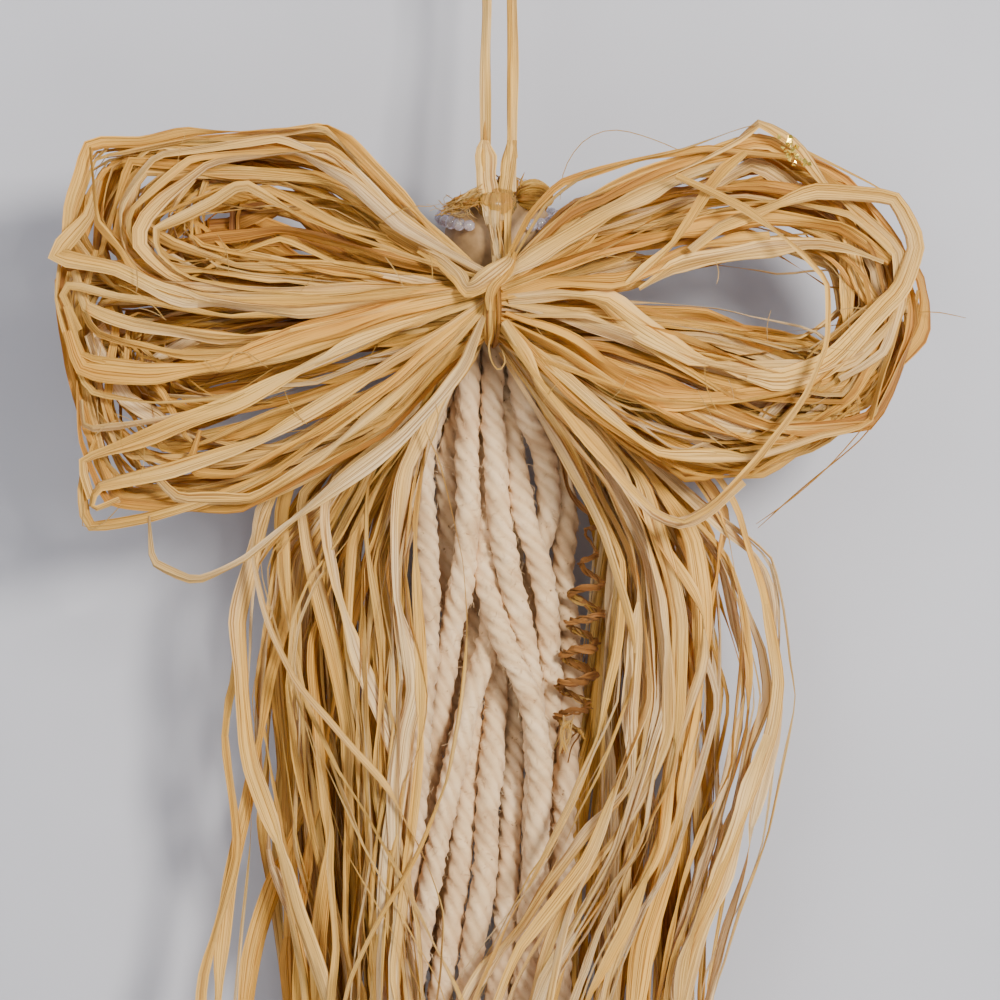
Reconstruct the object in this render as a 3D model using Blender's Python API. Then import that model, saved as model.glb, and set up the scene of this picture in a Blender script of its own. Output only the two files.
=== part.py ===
"""Hanging angel ornament: a raffia bow for wings, raffia tails for the skirt and a body of cotton cords.

Metres, +Z up. The origin is the inside top of the hanger loop, and the side with the bow's knot faces -Y.
"""
import math

import bmesh
import bpy
from mathutils import Matrix, Vector

MM = 0.001
GAP = 0.3 * MM

# Heights of the main places, measured down from the inside top of the hanger loop
HEAD_DROP = 96.4 * MM
HEAD_RADIUS = 13.3 * MM
HEAD_DEPTH = 1.0 * MM
NECK_CLEARANCE = 0.7 * MM
NECK_HEIGHT = 10.2 * MM
NECK_TOP_DROP = HEAD_DROP + HEAD_RADIUS + NECK_CLEARANCE
NECK_BASE_DROP = NECK_TOP_DROP + NECK_HEIGHT
KNOT_BELOW_HEAD = 17.6 * MM
KNOT_DROP = HEAD_DROP + KNOT_BELOW_HEAD
GLUE_ABOVE_HEAD = 8.4 * MM
GLUE_DROP = HEAD_DROP - GLUE_ABOVE_HEAD

# Trim of the head
HALO_BEAD_RADIUS = 1.5 * MM
HALO_RISE = 5.3 * MM
HALO_TILT = math.radians(13.0)
HALO_LEFT_END = math.radians(-63.0)
HALO_RIGHT_END = math.radians(-114.0)
HALO_SWELL = (0.30, 1.0, 1.0)
HALO_SIDES = 5
HAIR_THICKNESS = 2.4 * MM
HAIR_LENGTH = 9.0 * MM
HAIR_START = math.radians(12.0)
HAIR_FRONT = -0.22
HAIR_HALF_WIDTHS = (1.4 * MM, 3.2 * MM, 3.6 * MM, 3.2 * MM, 1.6 * MM)
HAIR_FULLNESS = (0.6, 0.9, 1.0, 0.9, 0.5)
CURL_RADIUS = 3.0 * MM
CURL_STRAND = 1.5 * MM
CURL_TURN = math.radians(522.0)
CURL_STEPS = 14
CURL_RISE = 2.7 * MM
CURL_OUTWARD = Vector((0.62, -0.30, 1.0)).normalized()

# Hanger
HANGER_WIDTH = 2.8 * MM
HANGER_STATIONS = 33
HANGER_THICKNESS = 0.8 * MM
HANGER_SPREAD = 5.9 * MM
HOOK_SPREAD = 9.4 * MM
GLUE_WIDTH = 9.6 * MM
GLUE_DEPTH = 5.0 * MM
GLUE_HEIGHT = 7.2 * MM
GLUE_Y = -12.1 * MM
GLUE_SEAT_GAP = 0.5 * MM
TAIL_WIDTH = 6.6 * MM
TAIL_THICKNESS = 1.7 * MM
TAIL_CLEARANCE = 0.9 * MM
TAIL_TOP_Y = -14.3 * MM
TAIL_MIDDLE_Y = -14.7 * MM
TAIL_BOTTOM_Y = -16.4 * MM

# Knot
KNOT_X = -1.7 * MM
KNOT_WIDTH = 4.6 * MM
KNOT_HEIGHT = 19.0 * MM
KNOT_FRONT_Y = -26.0 * MM
KNOT_BACK_Y = -9.2 * MM

# Neck, a little off the middle because the cords hang toward the wall
NECK_X = -1.4 * MM
NECK_Y = 3.7 * MM
NECK_HALF_WIDTH = 12.2 * MM
NECK_HALF_DEPTH = 11.6 * MM
NECK_PROFILE = ((0.0, 0.50), (0.25, 0.80), (0.44, 0.76), (0.69, 0.94), (1.0, 0.98))

# Wings, whose outlines are shares of the reach, outward and up from the knot
WING_REACH = 105.0 * MM
WING_ROOT_Y = -20.0 * MM
WING_MIDDLE_Y = -21.0 * MM
WING_ROOT_HALF_DEPTH = 4.0 * MM
WING_HALF_DEPTH = 11.0 * MM
WING_SPREAD_START = 10.0 * MM
WING_SPREAD_END = 60.0 * MM
WING_RIBBON_WIDTH = 7.4 * MM
WING_RIBBON_ROOT = 2.6 * MM
WING_RIBBON_THICKNESS = 1.3 * MM
WING_RIBBON_ROOT_THICKNESS = 0.6 * MM
WING_STATIONS = 13
WING_TWIST = 0.28
BUNCH_LENGTH = 13.0 * MM
BUNCH_ROOT_HEIGHT = 14.0 * MM
BUNCH_END_HEIGHT = 19.0 * MM
BUNCH_DEPTH = 9.6 * MM

LEFT_UPPER_OUTER = [(0.142, 0.155), (0.279, 0.308), (0.386, 0.395), (0.644, 0.378), (0.905, 0.345),
                    (0.965, 0.148), (0.86, 0.045), (0.667, 0.0), (0.37, 0.011), (0.142, 0.015)]
LEFT_UPPER_INNER = [(0.119, 0.095), (0.233, 0.14), (0.36, 0.21), (0.50, 0.265), (0.63, 0.25),
                    (0.70, 0.18), (0.64, 0.13), (0.52, 0.12), (0.34, 0.085), (0.142, 0.05)]
LEFT_LOWER_OUTER = [(0.142, 0.087), (0.37, 0.087), (0.667, 0.073), (0.975, 0.095), (0.965, -0.046),
                    (0.925, -0.274), (0.85, -0.44), (0.575, -0.45), (0.233, -0.285), (0.084, -0.116)]
LEFT_LOWER_INNER = [(0.142, 0.0), (0.37, -0.035), (0.60, -0.065), (0.75, -0.085), (0.79, -0.12),
                    (0.75, -0.165), (0.62, -0.165), (0.45, -0.13), (0.21, -0.075), (0.084, -0.03)]
RIGHT_UPPER_OUTER = [(0.110, 0.161), (0.19, 0.246), (0.406, 0.324), (0.612, 0.392), (0.817, 0.285),
                     (0.93, 0.114), (0.962, -0.046), (0.863, -0.262), (0.635, -0.292), (0.292, -0.16)]
RIGHT_UPPER_INNER = [(0.155, 0.055), (0.247, 0.085), (0.429, 0.115), (0.612, 0.125), (0.76, 0.09),
                     (0.81, 0.023), (0.79, -0.05), (0.703, -0.08), (0.521, -0.045), (0.247, -0.005)]
RIGHT_LOWER_OUTER = [(0.155, 0.01), (0.338, -0.02), (0.521, -0.06), (0.78, -0.12), (0.83, -0.21),
                     (0.74, -0.31), (0.58, -0.37), (0.44, -0.37), (0.30, -0.31), (0.14, -0.17)]
RIGHT_LOWER_INNER = [(0.155, -0.01), (0.338, -0.05), (0.521, -0.10), (0.70, -0.14), (0.74, -0.17),
                     (0.70, -0.21), (0.566, -0.23), (0.429, -0.22), (0.292, -0.16), (0.132, -0.09)]
RIGHT_FRONT = [(0.155, 0.087), (0.338, 0.217), (0.475, 0.228), (0.76, 0.034), (0.767, -0.091),
               (0.658, -0.308), (0.532, -0.457), (0.441, -0.495), (0.349, -0.452), (0.155, -0.217)]

# A wing's families of nested loops, from its front to its back: outer outline, inner outline, loops
LEFT_FAMILIES = ((LEFT_UPPER_OUTER, LEFT_UPPER_INNER, 5), (LEFT_LOWER_OUTER, LEFT_LOWER_INNER, 5))
RIGHT_FAMILIES = ((RIGHT_FRONT, RIGHT_FRONT, 1), (RIGHT_UPPER_OUTER, RIGHT_UPPER_INNER, 5),
                  (RIGHT_LOWER_OUTER, RIGHT_LOWER_INNER, 4))

# Skirt: each strand is a row of places across and in depth, in millimetres, at the drops below the knot
SKIRT_DROPS = (29, 60, 94, 130, 166, 238)
SKIRT_RIBBON_WIDTH = 6.4 * MM
SKIRT_RIBBON_ROOT = 1.6 * MM
SKIRT_RIBBON_THICKNESS = 1.1 * MM
SKIRT_STATIONS = 10
SKIRT_HEM_STEP = 4.0
SKIRT_TOP_Y = -11.8 * MM
SKIRT_TOP_OUT = 2.6 * MM
SKIRT_BUNCH_OUT = (0.0, 5.0 * MM, 11.0 * MM)
SKIRT_BUNCH_BACK = (0.0, 0.2 * MM, 1.0 * MM)
SKIRT_BUNCH_DOWN = (0.5 * MM, 4.0 * MM, 12.5 * MM)
SKIRT_BUNCH_HALF_WIDTHS = (3.6 * MM, 4.2 * MM, 4.6 * MM)
SKIRT_BUNCH_HALF_DEPTHS = (2.2 * MM, 2.4 * MM, 2.3 * MM)
SKIRT_ROOT_SPREAD = Vector((0.5 * MM, 0, 1.5 * MM))
SKIRT_ROOT_THICKNESS = 0.5 * MM
SKIRT_TWIST = 0.2
LEFT_SKIRT_ACROSS = (
    (-26, -57, -61, -58, -66, -71),
    (-25, -55, -48, -29, -14, -9),
    (-28, -50, -53, -49, -41, -37),
    (-26, -43, -43, -39, -36, -33),
    (-23, -36, -35, -36, -38, -42),
    (-20, -29, -28, -26, -24, -21),
    (-17, -23, -24, -27, -30, -31),
    (-31, -51, -58, -60, -55, -52),
)
LEFT_SKIRT_DEPTH = (
    (-9, -7, -7, -7, -6, -6),
    (-8, -6, -11, -17.5, -17.8, -17.5),
    (-7, -4, -3, -2, -2, -2),
    (-6, -2, 1, 2, 2, 2),
    (-5, 1, 6, 7, 7, 6),
    (-10, -11, -13, -14, -14, -14),
    (-11, -13, -15, -16, -16, -16),
    (-4, 4, 11, 12, 11, 10),
)
RIGHT_SKIRT_ACROSS = (
    (26, 63, 67, 61, 48, 43),
    (25, 52, 57, 49, 38, 34),
    (22, 39, 46, 39, 24, 15),
    (20, 34, 37, 26, 8, 0),
    (17, 29, 31, 15, -7, -16),
    (19, 31, 32, 31, 30, 29),
    (27, 27, 26, 24, 23, 22),
    (24, 46, 53, 53, 48, 51),
)
RIGHT_SKIRT_DEPTH = (
    (-9, -7, -6, -5, -5, -5),
    (-8, -5, -4, -3, -3, -3),
    (-7, -9, -11, -14, -15, -15),
    (-10, -11, -13, -17, -17, -17),
    (-11, -13, -16, -21, -21.5, -21),
    (-6, -2, 1, 3, 3, 3),
    (-2, 4, 9, 10, 10, 9),
    (-4, 0, 4, 6, 6, 5),
)

# Cotton cords: places across and in depth, in millimetres, at the drops below the neck's base
CORD_DIAMETER = 5.0 * MM
CORD_PITCH = 5.7 * MM
CORD_STEP = 16.0 * MM
CORD_START = 3.0 * MM
CORD_DROPS = (0, 8, 18, 29, 43, 58, 72, 86, 101, 115, 130, 144, 158, 180, 202, 225)
CORD_LENGTH_STEP = 3.0 * MM
CORD_SPREAD_TURNS = 90
CORD_SMOOTH_TURNS = 60
CORD_SMOOTHING = 0.03
CORD_LEAN_ROOM = 0.035
CORD_SIDEWAYS_SHARE = 0.25
CORD_ACROSS = (
    (-10.2, -11.8, -15.1, -18.5, -18, -17.3, -17, -18.2, -19.7, -20.4, -21.8, -23.8, -26.2, -27.4,
     -27.6, -28.6),
    (-4.3, -6, -9, -12.5, -12.2, -12, -10.5, -9.8, -10.6, -11.8, -12.5, -13, -14.2, -15.1, -16, -16.6),
    (-7.2, -7.2, -7.4, -7.7, -7.4, -8.4, -11.8, -13.9, -16.3, -17.8, -18.7, -19.7, -20.9, -21.8,
     -22.8, -23.3),
    (-1.4, -1.5, -1.7, -0.7, 0.2, 2.2, 6, 8.6, 8.9, 8.4, 7.4, 6.5, 5, 3.8, 3.1, 2.6),
    (4.4, 5, 6.5, 11, 11.8, 8, 7.5, 11.5, 12.7, 13.7, 13.7, 13.2, 12.2, 11.3, 10.6, 9.8),
    (1.5, 2, 2.6, 3.8, 6, 10.6, 11.5, 12.5, 11.6, 11.8, 11.3, 11, 9.8, 9, 8.6, 8.2),
    (-1.4, -3, -4, -4, -3.6, -2.9, 1.4, 7.2, 9.8, 9.4, 8.2, 7, 6.5, 5, 4.3, 3.6),
    (-7.2, -6.5, -5, -4, -3.4, -2.4, -2.2, -6.5, -10.1, -13.2, -16.6, -19, -21.4, -22.8, -23.8, -24.2),
    (4.4, 3, 1.5, 0.5, 0.2, -0.2, -0.7, -0.7, -1.7, -2.9, -3.4, -6, -7.4, -8.9, -9.8, -10.6),
    (-4.3, -4.5, -4.6, -4.6, -5, -5.8, -6.2, -6.7, -7.2, -8.4, -9.8, -11.5, -14.2, -15.6, -16.6, -17),
    (1.5, 2, 2.5, 3.1, 3.1, 3.1, 3.4, 3.6, 3.6, 3.1, 2.2, 1.4, -0.5, -2.2, -3.4, -3.8),
    (7.3, 8.5, 11, 14.6, 16.1, 15.8, 16.9, 17, 16.1, 15.4, 15.3, 15.1, 14.6, 13.7, 13, 12.2),
)
CORD_DEPTH = (
    (0.8, 0.5, -1, -3, -5, -6, -6, -6, -6, -6, -5.5, -5, -5, -5, -5, -5),
    (0.8, 0.8, 1, 1, 1, 3, 8, 9, 7, 6, 6, 6, 6, 6, 6, 6),
    (-5, -5.5, -6.5, -6.5, -6.5, -6, -2, 0, 1, 1, 1, 1, 1, 1, 1, 1),
    (-5, -6, -7, -7, -7, -7, -5.5, -1.5, -1, -1, -1, -1, -1, -1, -1, -1),
    (-5, -5.5, -6.5, -6, -2, 2, 7, 9, 10, 10, 10, 10, 9, 9, 8, 8),
    (0.8, 0.8, 0, -2.5, -8, -10, -5.5, 2.5, 4.5, 5, 5, 5, 5, 5, 5, 5),
    (6.6, 5, 3, 1, -1, -3, -8, -8, -7, -7, -6.5, -6.5, -6.5, -6.5, -6.5, -6.5),
    (6.6, 6.6, 6.6, 6, 4.5, 2.5, -3, -6.5, -6.5, -6.5, -6.5, -6, -6, -6, -6, -6),
    (6.6, 6.6, 7, 7.5, 8.5, 8, 6, 1, -5, -6, -6, -6, -6, -6, -6, -6),
    (12.4, 11.5, 11, 10.5, 10.5, 9, 4, 0.5, -1.5, -3, -4.5, -5, -5.5, -6, -6, -6),
    (12.4, 12, 12, 12, 12, 12, 11, 7, 1, -1, -3, -4, -4, -4, -4, -4),
    (0.8, 1, 2, 3, 3, 3, 4, 4, 4, 4, 4, 4, 4, 4, 4, 4),
)

# Tendril, bound bundle and foil
TENDRIL_X = 21.4 * MM
TENDRIL_LEAN = -2.2 * MM
TENDRIL_Y = -5.5 * MM
TENDRIL_BELOW_NECK = 46.4 * MM
TENDRIL_STEM = (Vector((12.2, -7.2, -13.4)) * MM, Vector((14.5, -6.0, -27.4)) * MM)
TENDRIL_TIP = Vector((-1.5, -1.0, -7.0)) * MM
TENDRIL_STEPS = 8
TENDRIL_TURNS = 7
TENDRIL_PITCH = 7.6 * MM
TENDRIL_RADIUS = 4.2 * MM
TENDRIL_STRAND = 1.9 * MM
BUNDLE_DIAMETER = 4.6 * MM
BUNDLE_ABOVE_CUFF = (Vector((-16, 8, -5.4)) * MM, Vector((-33, 13, -39.4)) * MM,
                     Vector((-45, 16, -74.4)) * MM)
BUNDLE_BELOW_CUFF = (Vector((-47, 16, -141.4)) * MM, Vector((-43, 15, -179.4)) * MM)
BUNDLE_STATIONS = 12
CUFF_X = -48.2 * MM
CUFF_Y = 16.5 * MM
CUFF_BELOW_NECK = 107.4 * MM
CUFF_HEIGHT = 9.6 * MM
CUFF_WALL = 1.3 * MM
FOIL_X = 69.0 * MM
FOIL_Y = -36.4 * MM
FOIL_ABOVE_KNOT = 34.8 * MM
FOIL_TILT = Vector((0.62, 0, -0.78))
FOIL_SWELL = (0.35, 1.0, 0.5, 0.95, 0.45, 0.8, 0.3)
FOIL_LENGTH = 8.4 * MM
FOIL_WIDTH = 3.2 * MM

RAFFIA = (0.78, 0.58, 0.32, 1.0)
RAFFIA_PALE = (0.84, 0.66, 0.42, 1.0)
RAFFIA_BROWN = (0.45, 0.24, 0.08, 1.0)
RAFFIA_GOLDEN = (0.80, 0.55, 0.18, 1.0)
COTTON = (0.80, 0.74, 0.66, 1.0)
WOOD = (0.60, 0.42, 0.24, 1.0)
PEARL = (0.86, 0.84, 0.88, 1.0)
GLUE = (0.83, 0.76, 0.60, 1.0)
GOLD = (0.90, 0.66, 0.16, 1.0)


def clear_scene():
    for item in list(bpy.data.objects):
        bpy.data.objects.remove(item, do_unlink=True)


def make_material(name, colour, roughness, metallic=0.0):
    material = bpy.data.materials.new(name)
    material.use_nodes = True
    shader = material.node_tree.nodes["Principled BSDF"]
    shader.inputs["Base Color"].default_value = colour
    shader.inputs["Roughness"].default_value = roughness
    shader.inputs["Metallic"].default_value = metallic
    return material


def catmull_rom(a, b, c, d, t):
    return 0.5 * ((2 * b) + (c - a) * t + (2 * a - 5 * b + 4 * c - d) * t * t
                  + (3 * b - a - 3 * c + d) * t * t * t)


def dense_curve(points, per_span=12):
    """A fine smooth curve that passes through every point."""
    ends = [2 * points[0] - points[1]] + list(points) + [2 * points[-1] - points[-2]]
    fine = []
    for i in range(1, len(ends) - 2):
        for k in range(per_span):
            fine.append(catmull_rom(ends[i - 1], ends[i], ends[i + 1], ends[i + 2], k / per_span))
    fine.append(points[-1].copy())
    return fine


def spaced_curve(points, count):
    """count points at even steps along the smooth curve through the given points."""
    fine = dense_curve(points)
    travelled = [0.0]
    for a, b in zip(fine, fine[1:]):
        travelled.append(travelled[-1] + (b - a).length)
    total = travelled[-1]
    spaced = []
    i = 0
    for k in range(count):
        goal = total * k / (count - 1)
        while i < len(fine) - 2 and travelled[i + 1] < goal:
            i += 1
        span = travelled[i + 1] - travelled[i]
        share = 0.0 if span == 0 else min(1.0, (goal - travelled[i]) / span)
        spaced.append(fine[i].lerp(fine[i + 1], share))
    return spaced


def curve_length(points):
    fine = dense_curve(points)
    return sum((b - a).length for a, b in zip(fine, fine[1:]))


def ease(value, low, high):
    t = min(1.0, max(0.0, (value - low) / (high - low)))
    return t * t * (3 - 2 * t)


def loft(bm, rings):
    """One closed body through rings of equal length, capped at both ends."""
    layers = [[bm.verts.new(point) for point in ring] for ring in rings]
    sides = len(layers[0])
    for low, high in zip(layers, layers[1:]):
        for j in range(sides):
            k = (j + 1) % sides
            bm.faces.new((low[j], low[k], high[k], high[j]))
    bm.faces.new(list(reversed(layers[0])))
    bm.faces.new(layers[-1])


def ring_frames(route, face=Vector((0, -1, 0))):
    """Place, across and outward directions along a route, for flat pieces that face the given way."""
    frames = []
    last = len(route) - 1
    for i, place in enumerate(route):
        along = (route[min(i + 1, last)] - route[max(i - 1, 0)]).normalized()
        across = along.cross(face).normalized()
        outward = across.cross(along).normalized()
        frames.append((place, across, outward))
    return frames


def ribbon(bm, route, width_at, thickness_at, twist_at):
    """A creased flat strip: two thin edges and a ridge along its middle."""
    rings = []
    last = len(route) - 1
    for i, (place, across, outward) in enumerate(ring_frames(route)):
        share = i / last
        half = width_at(share) / 2
        thick = thickness_at(share) / 2
        angle = twist_at(share)
        side = across * math.cos(angle) + outward * math.sin(angle)
        face = outward * math.cos(angle) - across * math.sin(angle)
        rings.append([place - side * half, place - face * thick,
                      place + side * half, place + face * thick])
    loft(bm, rings)


def bunch(bm, route, half_heights, half_depths, pleats=8, pleat_share=0.09, face=Vector((0, -1, 0))):
    """A gathered bundle with pleats, whose half sizes are given at each point of its route."""
    rings = []
    for (place, across, outward), height, depth in zip(ring_frames(route, face), half_heights, half_depths):
        ring = []
        for j in range(pleats * 2):
            angle = math.pi * j / pleats
            swell = 1 + pleat_share * (1 if j % 2 else -1)
            ring.append(place + across * (math.cos(angle) * height * swell)
                        + outward * (math.sin(angle) * depth * swell))
        rings.append(ring)
    loft(bm, rings)


def mesh_object(name, bm, material, smooth=False):
    bmesh.ops.recalc_face_normals(bm, faces=bm.faces)
    mesh = bpy.data.meshes.new(name)
    bm.to_mesh(mesh)
    bm.free()
    item = bpy.data.objects.new(name, mesh)
    bpy.context.scene.collection.objects.link(item)
    mesh.materials.append(material)
    if smooth:
        mesh.shade_smooth()
        mesh.set_sharp_from_angle(angle=math.radians(40))
    return item


def boolean(item, other, operation, self_crossing=False):
    other.hide_render = True
    other.display_type = 'WIRE'
    step = item.modifiers.new(operation.title(), 'BOOLEAN')
    step.operation = operation
    step.object = other
    step.solver = 'EXACT'
    step.use_self = self_crossing


def wing_depth(distance, layer_share):
    """Depth of a wing strip: layers lie close at the knot and fan out away from it."""
    spread = ease(distance, WING_SPREAD_START, WING_SPREAD_END)
    middle = WING_ROOT_Y + (WING_MIDDLE_Y - WING_ROOT_Y) * spread
    half = WING_ROOT_HALF_DEPTH + (WING_HALF_DEPTH - WING_ROOT_HALF_DEPTH) * spread
    return middle + half * layer_share


def wing_route(outer, inner, share, side, layer_share):
    """One loop of the bow, out from the knot and back, between the outer and the inner outline."""
    root = KNOT_WIDTH / 2 + GAP
    start_out = (root + BUNCH_LENGTH * 0.35) / WING_REACH
    outline = [(start_out, 0.03 * (1 - share))]
    outline += [(a[0] + (b[0] - a[0]) * share, a[1] + (b[1] - a[1]) * share) for a, b in zip(outer, inner)]
    outline.append((start_out, -0.02 * (1 - share) - 0.01))
    points = []
    for out, up in outline:
        distance = math.hypot(out, up) * WING_REACH
        points.append(Vector((KNOT_X + side * out * WING_REACH, wing_depth(distance, layer_share),
                              up * WING_REACH - KNOT_DROP)))
    return points


def strip_width(share, root, full):
    """A strip's width or thickness, small at both ends."""
    return root + (full - root) * ease(math.sin(math.pi * share), 0.05, 0.5)


def grown(share, root, full):
    """A strip's width or thickness, small at its start only."""
    return root + (full - root) * ease(share, 0.02, 0.3)


def wing_strips(side, families):
    """All loops of a wing as separate strips, layered in depth from the front family to the back one."""
    strips = bmesh.new()
    rows = []
    most = max(loops for _, _, loops in families)
    for k in range(most):
        rows += [(outer, inner, k, loops) for outer, inner, loops in families if k < loops]
    for number, (outer, inner, k, loops) in enumerate(rows):
        layer = 2 * number / (len(rows) - 1) - 1
        points = wing_route(outer, inner, k / max(1, loops - 1), side, layer)
        full = WING_RIBBON_WIDTH * (1 - 0.12 * (k % 2))
        ribbon(strips, spaced_curve(points, WING_STATIONS),
               lambda s, full=full: strip_width(s, WING_RIBBON_ROOT, full),
               lambda s: strip_width(s, WING_RIBBON_ROOT_THICKNESS, WING_RIBBON_THICKNESS),
               lambda s, k=k: side * WING_TWIST * ease(math.sin(math.pi * s), 0.3, 1.0))
    return strips


def make_wing(name, side, families, material):
    core = bmesh.new()
    root_x = KNOT_X + side * (KNOT_WIDTH / 2 + GAP)
    shares = (0.0, 0.4, 1.0)
    route = [Vector((root_x + side * BUNCH_LENGTH * s, WING_ROOT_Y, -KNOT_DROP)) for s in shares]
    heights = [(BUNCH_ROOT_HEIGHT + (BUNCH_END_HEIGHT - BUNCH_ROOT_HEIGHT) * s) / 2 for s in shares]
    bunch(core, route, heights, [BUNCH_DEPTH / 2 * k for k in (0.9, 1.0, 0.86)])
    wing = mesh_object(name, core, material)

    loops = mesh_object(name + "_loops", wing_strips(side, families), material)
    boolean(wing, loops, 'UNION', True)
    return wing


def make_skirt(name, side, across_rows, depth_rows, material):
    """The tails on one side: a gathered top beside the knot and strips that fall to the hem."""
    top = Vector((KNOT_X + side * (KNOT_WIDTH / 2 + SKIRT_TOP_OUT), SKIRT_TOP_Y, -KNOT_DROP))
    route = [top + Vector((side * out, back, -down))
             for out, back, down in zip(SKIRT_BUNCH_OUT, SKIRT_BUNCH_BACK, SKIRT_BUNCH_DOWN)]
    core = bmesh.new()
    bunch(core, route, SKIRT_BUNCH_HALF_WIDTHS, SKIRT_BUNCH_HALF_DEPTHS, pleats=6)
    skirt = mesh_object(name, core, material)

    strips = bmesh.new()
    for k, (across, depth) in enumerate(zip(across_rows, depth_rows)):
        spread = Vector((side * SKIRT_ROOT_SPREAD.x, 0, SKIRT_ROOT_SPREAD.z)) * (k % 3 - 1)
        points = [route[0].lerp(route[1], 0.5), route[1] + spread]
        hem = (k * 5 % 4) * SKIRT_HEM_STEP
        for i, (x, y, drop) in enumerate(zip(across, depth, SKIRT_DROPS)):
            low = drop - hem if i == len(SKIRT_DROPS) - 1 else drop
            points.append(Vector((x * MM, y * MM, -KNOT_DROP - low * MM)))
        full = SKIRT_RIBBON_WIDTH * (1 - 0.15 * (k % 2))
        ribbon(strips, spaced_curve(points, SKIRT_STATIONS),
               lambda s, full=full: grown(s, SKIRT_RIBBON_ROOT, full),
               lambda s: grown(s, SKIRT_ROOT_THICKNESS, SKIRT_RIBBON_THICKNESS),
               lambda s, k=k: SKIRT_TWIST * math.sin(6 * s + 2 * k))
    tails = mesh_object(name + "_tails", strips, material)
    boolean(skirt, tails, 'UNION', True)
    return skirt


def cord_routes():
    """Routes of the cotton cords, with cords that press on each other moved apart at each height."""
    rows = [[[x, y] for x, y in zip(xs, ys)] for xs, ys in zip(CORD_ACROSS, CORD_DEPTH)]
    pitch = CORD_PITCH / MM
    for turn in range(CORD_SPREAD_TURNS):
        for level in range(1, len(CORD_DROPS)):
            for i in range(len(rows)):
                for j in range(i + 1, len(rows)):
                    a = rows[i][level]
                    b = rows[j][level]
                    dx = b[0] - a[0]
                    dy = b[1] - a[1]
                    apart = math.hypot(dx, dy)
                    lean = max(abs(rows[i][level][0] - rows[i][level - 1][0]),
                               abs(rows[j][level][0] - rows[j][level - 1][0]))
                    need = pitch * (1 + CORD_LEAN_ROOM * lean)
                    if apart < need:
                        push = (need - apart) / 2
                        a[0] -= CORD_SIDEWAYS_SHARE * push * dx / apart
                        b[0] += CORD_SIDEWAYS_SHARE * push * dx / apart
                        sign = 1 if dy >= 0 else -1
                        a[1] -= push * sign
                        b[1] += push * sign
        for row in rows if turn < CORD_SMOOTH_TURNS else ():
            for level in range(2, len(CORD_DROPS) - 1):
                middle = (row[level - 1][1] + row[level + 1][1]) / 2
                row[level][1] += CORD_SMOOTHING * (middle - row[level][1])
    routes = []
    for k, row in enumerate(rows):
        shorter = (k * 7 % 4) * CORD_LENGTH_STEP
        points = []
        for level, (x, y) in enumerate(row):
            low = CORD_DROPS[level] * MM
            if level == len(row) - 1:
                low -= shorter
            points.append(Vector((x * MM, y * MM, -NECK_BASE_DROP - GAP - low)))
        routes.append(points)
    return routes


def make_cord(name, points, material):
    below = points[0] - Vector((0, 0, CORD_START))
    points = [below] + points[1:]
    count = round(curve_length(points) / CORD_STEP) + 1
    curve = bpy.data.curves.new(name, 'CURVE')
    curve.dimensions = '3D'
    line = curve.splines.new('POLY')
    places = [below + Vector((0, 0, CORD_START))] + spaced_curve(points, count)
    line.points.add(len(places) - 1)
    for spot, place in zip(line.points, places):
        spot.co = (*place, 1.0)
    curve.bevel_depth = CORD_DIAMETER / 2
    curve.bevel_resolution = 2
    curve.use_fill_caps = True
    curve.materials.append(material)
    item = bpy.data.objects.new(name, curve)
    bpy.context.scene.collection.objects.link(item)
    return item


def make_head(material):
    bm = bmesh.new()
    bmesh.ops.create_uvsphere(bm, u_segments=20, v_segments=12, radius=HEAD_RADIUS)
    bmesh.ops.translate(bm, verts=bm.verts, vec=(0, HEAD_DEPTH, -HEAD_DROP))
    return mesh_object("head_ball", bm, material, smooth=True)


def make_halo(material):
    """A string of beads on a tilted ring that clears the head, open where the hanger's glue sits."""
    plane = HALO_RISE * math.cos(HALO_TILT)
    radius = math.sqrt(HEAD_RADIUS ** 2 - plane ** 2) + GAP + HALO_BEAD_RADIUS * 1.15
    middle = Vector((0, HEAD_DEPTH - plane * math.sin(HALO_TILT), -HEAD_DROP + plane * math.cos(HALO_TILT)))
    turn = Matrix.Rotation(HALO_TILT, 3, 'X')
    sweep = 2 * math.pi + HALO_RIGHT_END - HALO_LEFT_END
    beads = round(sweep * radius / (2 * HALO_BEAD_RADIUS))
    stations = beads * len(HALO_SWELL) + 1
    rings = []
    for i in range(stations):
        angle = HALO_LEFT_END + sweep * i / (stations - 1)
        outward = turn @ Vector((math.cos(angle), math.sin(angle), 0))
        upward = turn @ Vector((0, 0, 1))
        size = HALO_BEAD_RADIUS * HALO_SWELL[i % len(HALO_SWELL)]
        place = middle + outward * radius
        ring = []
        for j in range(HALO_SIDES):
            turned = 2 * math.pi * j / HALO_SIDES
            ring.append(place + (outward * math.cos(turned) + upward * math.sin(turned)) * size)
        rings.append(ring)
    bm = bmesh.new()
    loft(bm, rings)
    return mesh_object("halo_beads", bm, material, smooth=True)


def make_hair(material):
    """A frayed tuft that lies over the upper left of the head."""
    radius = HEAD_RADIUS + GAP + HAIR_THICKNESS * 0.62
    centre = Vector((0, HEAD_DEPTH, -HEAD_DROP))
    route = []
    for k in range(len(HAIR_FULLNESS)):
        angle = HAIR_START + k / (len(HAIR_FULLNESS) - 1) * HAIR_LENGTH / radius
        route.append(centre + radius * Vector((-math.sin(angle), HAIR_FRONT, math.cos(angle))).normalized())
    bm = bmesh.new()
    halves = [HAIR_THICKNESS / 2 * k for k in HAIR_FULLNESS]
    bunch(bm, route, HAIR_HALF_WIDTHS, halves, pleats=5, pleat_share=0.16,
          face=Vector((-0.5, -0.2, 1)).normalized())
    return mesh_object("hair_tuft", bm, material)


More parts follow.
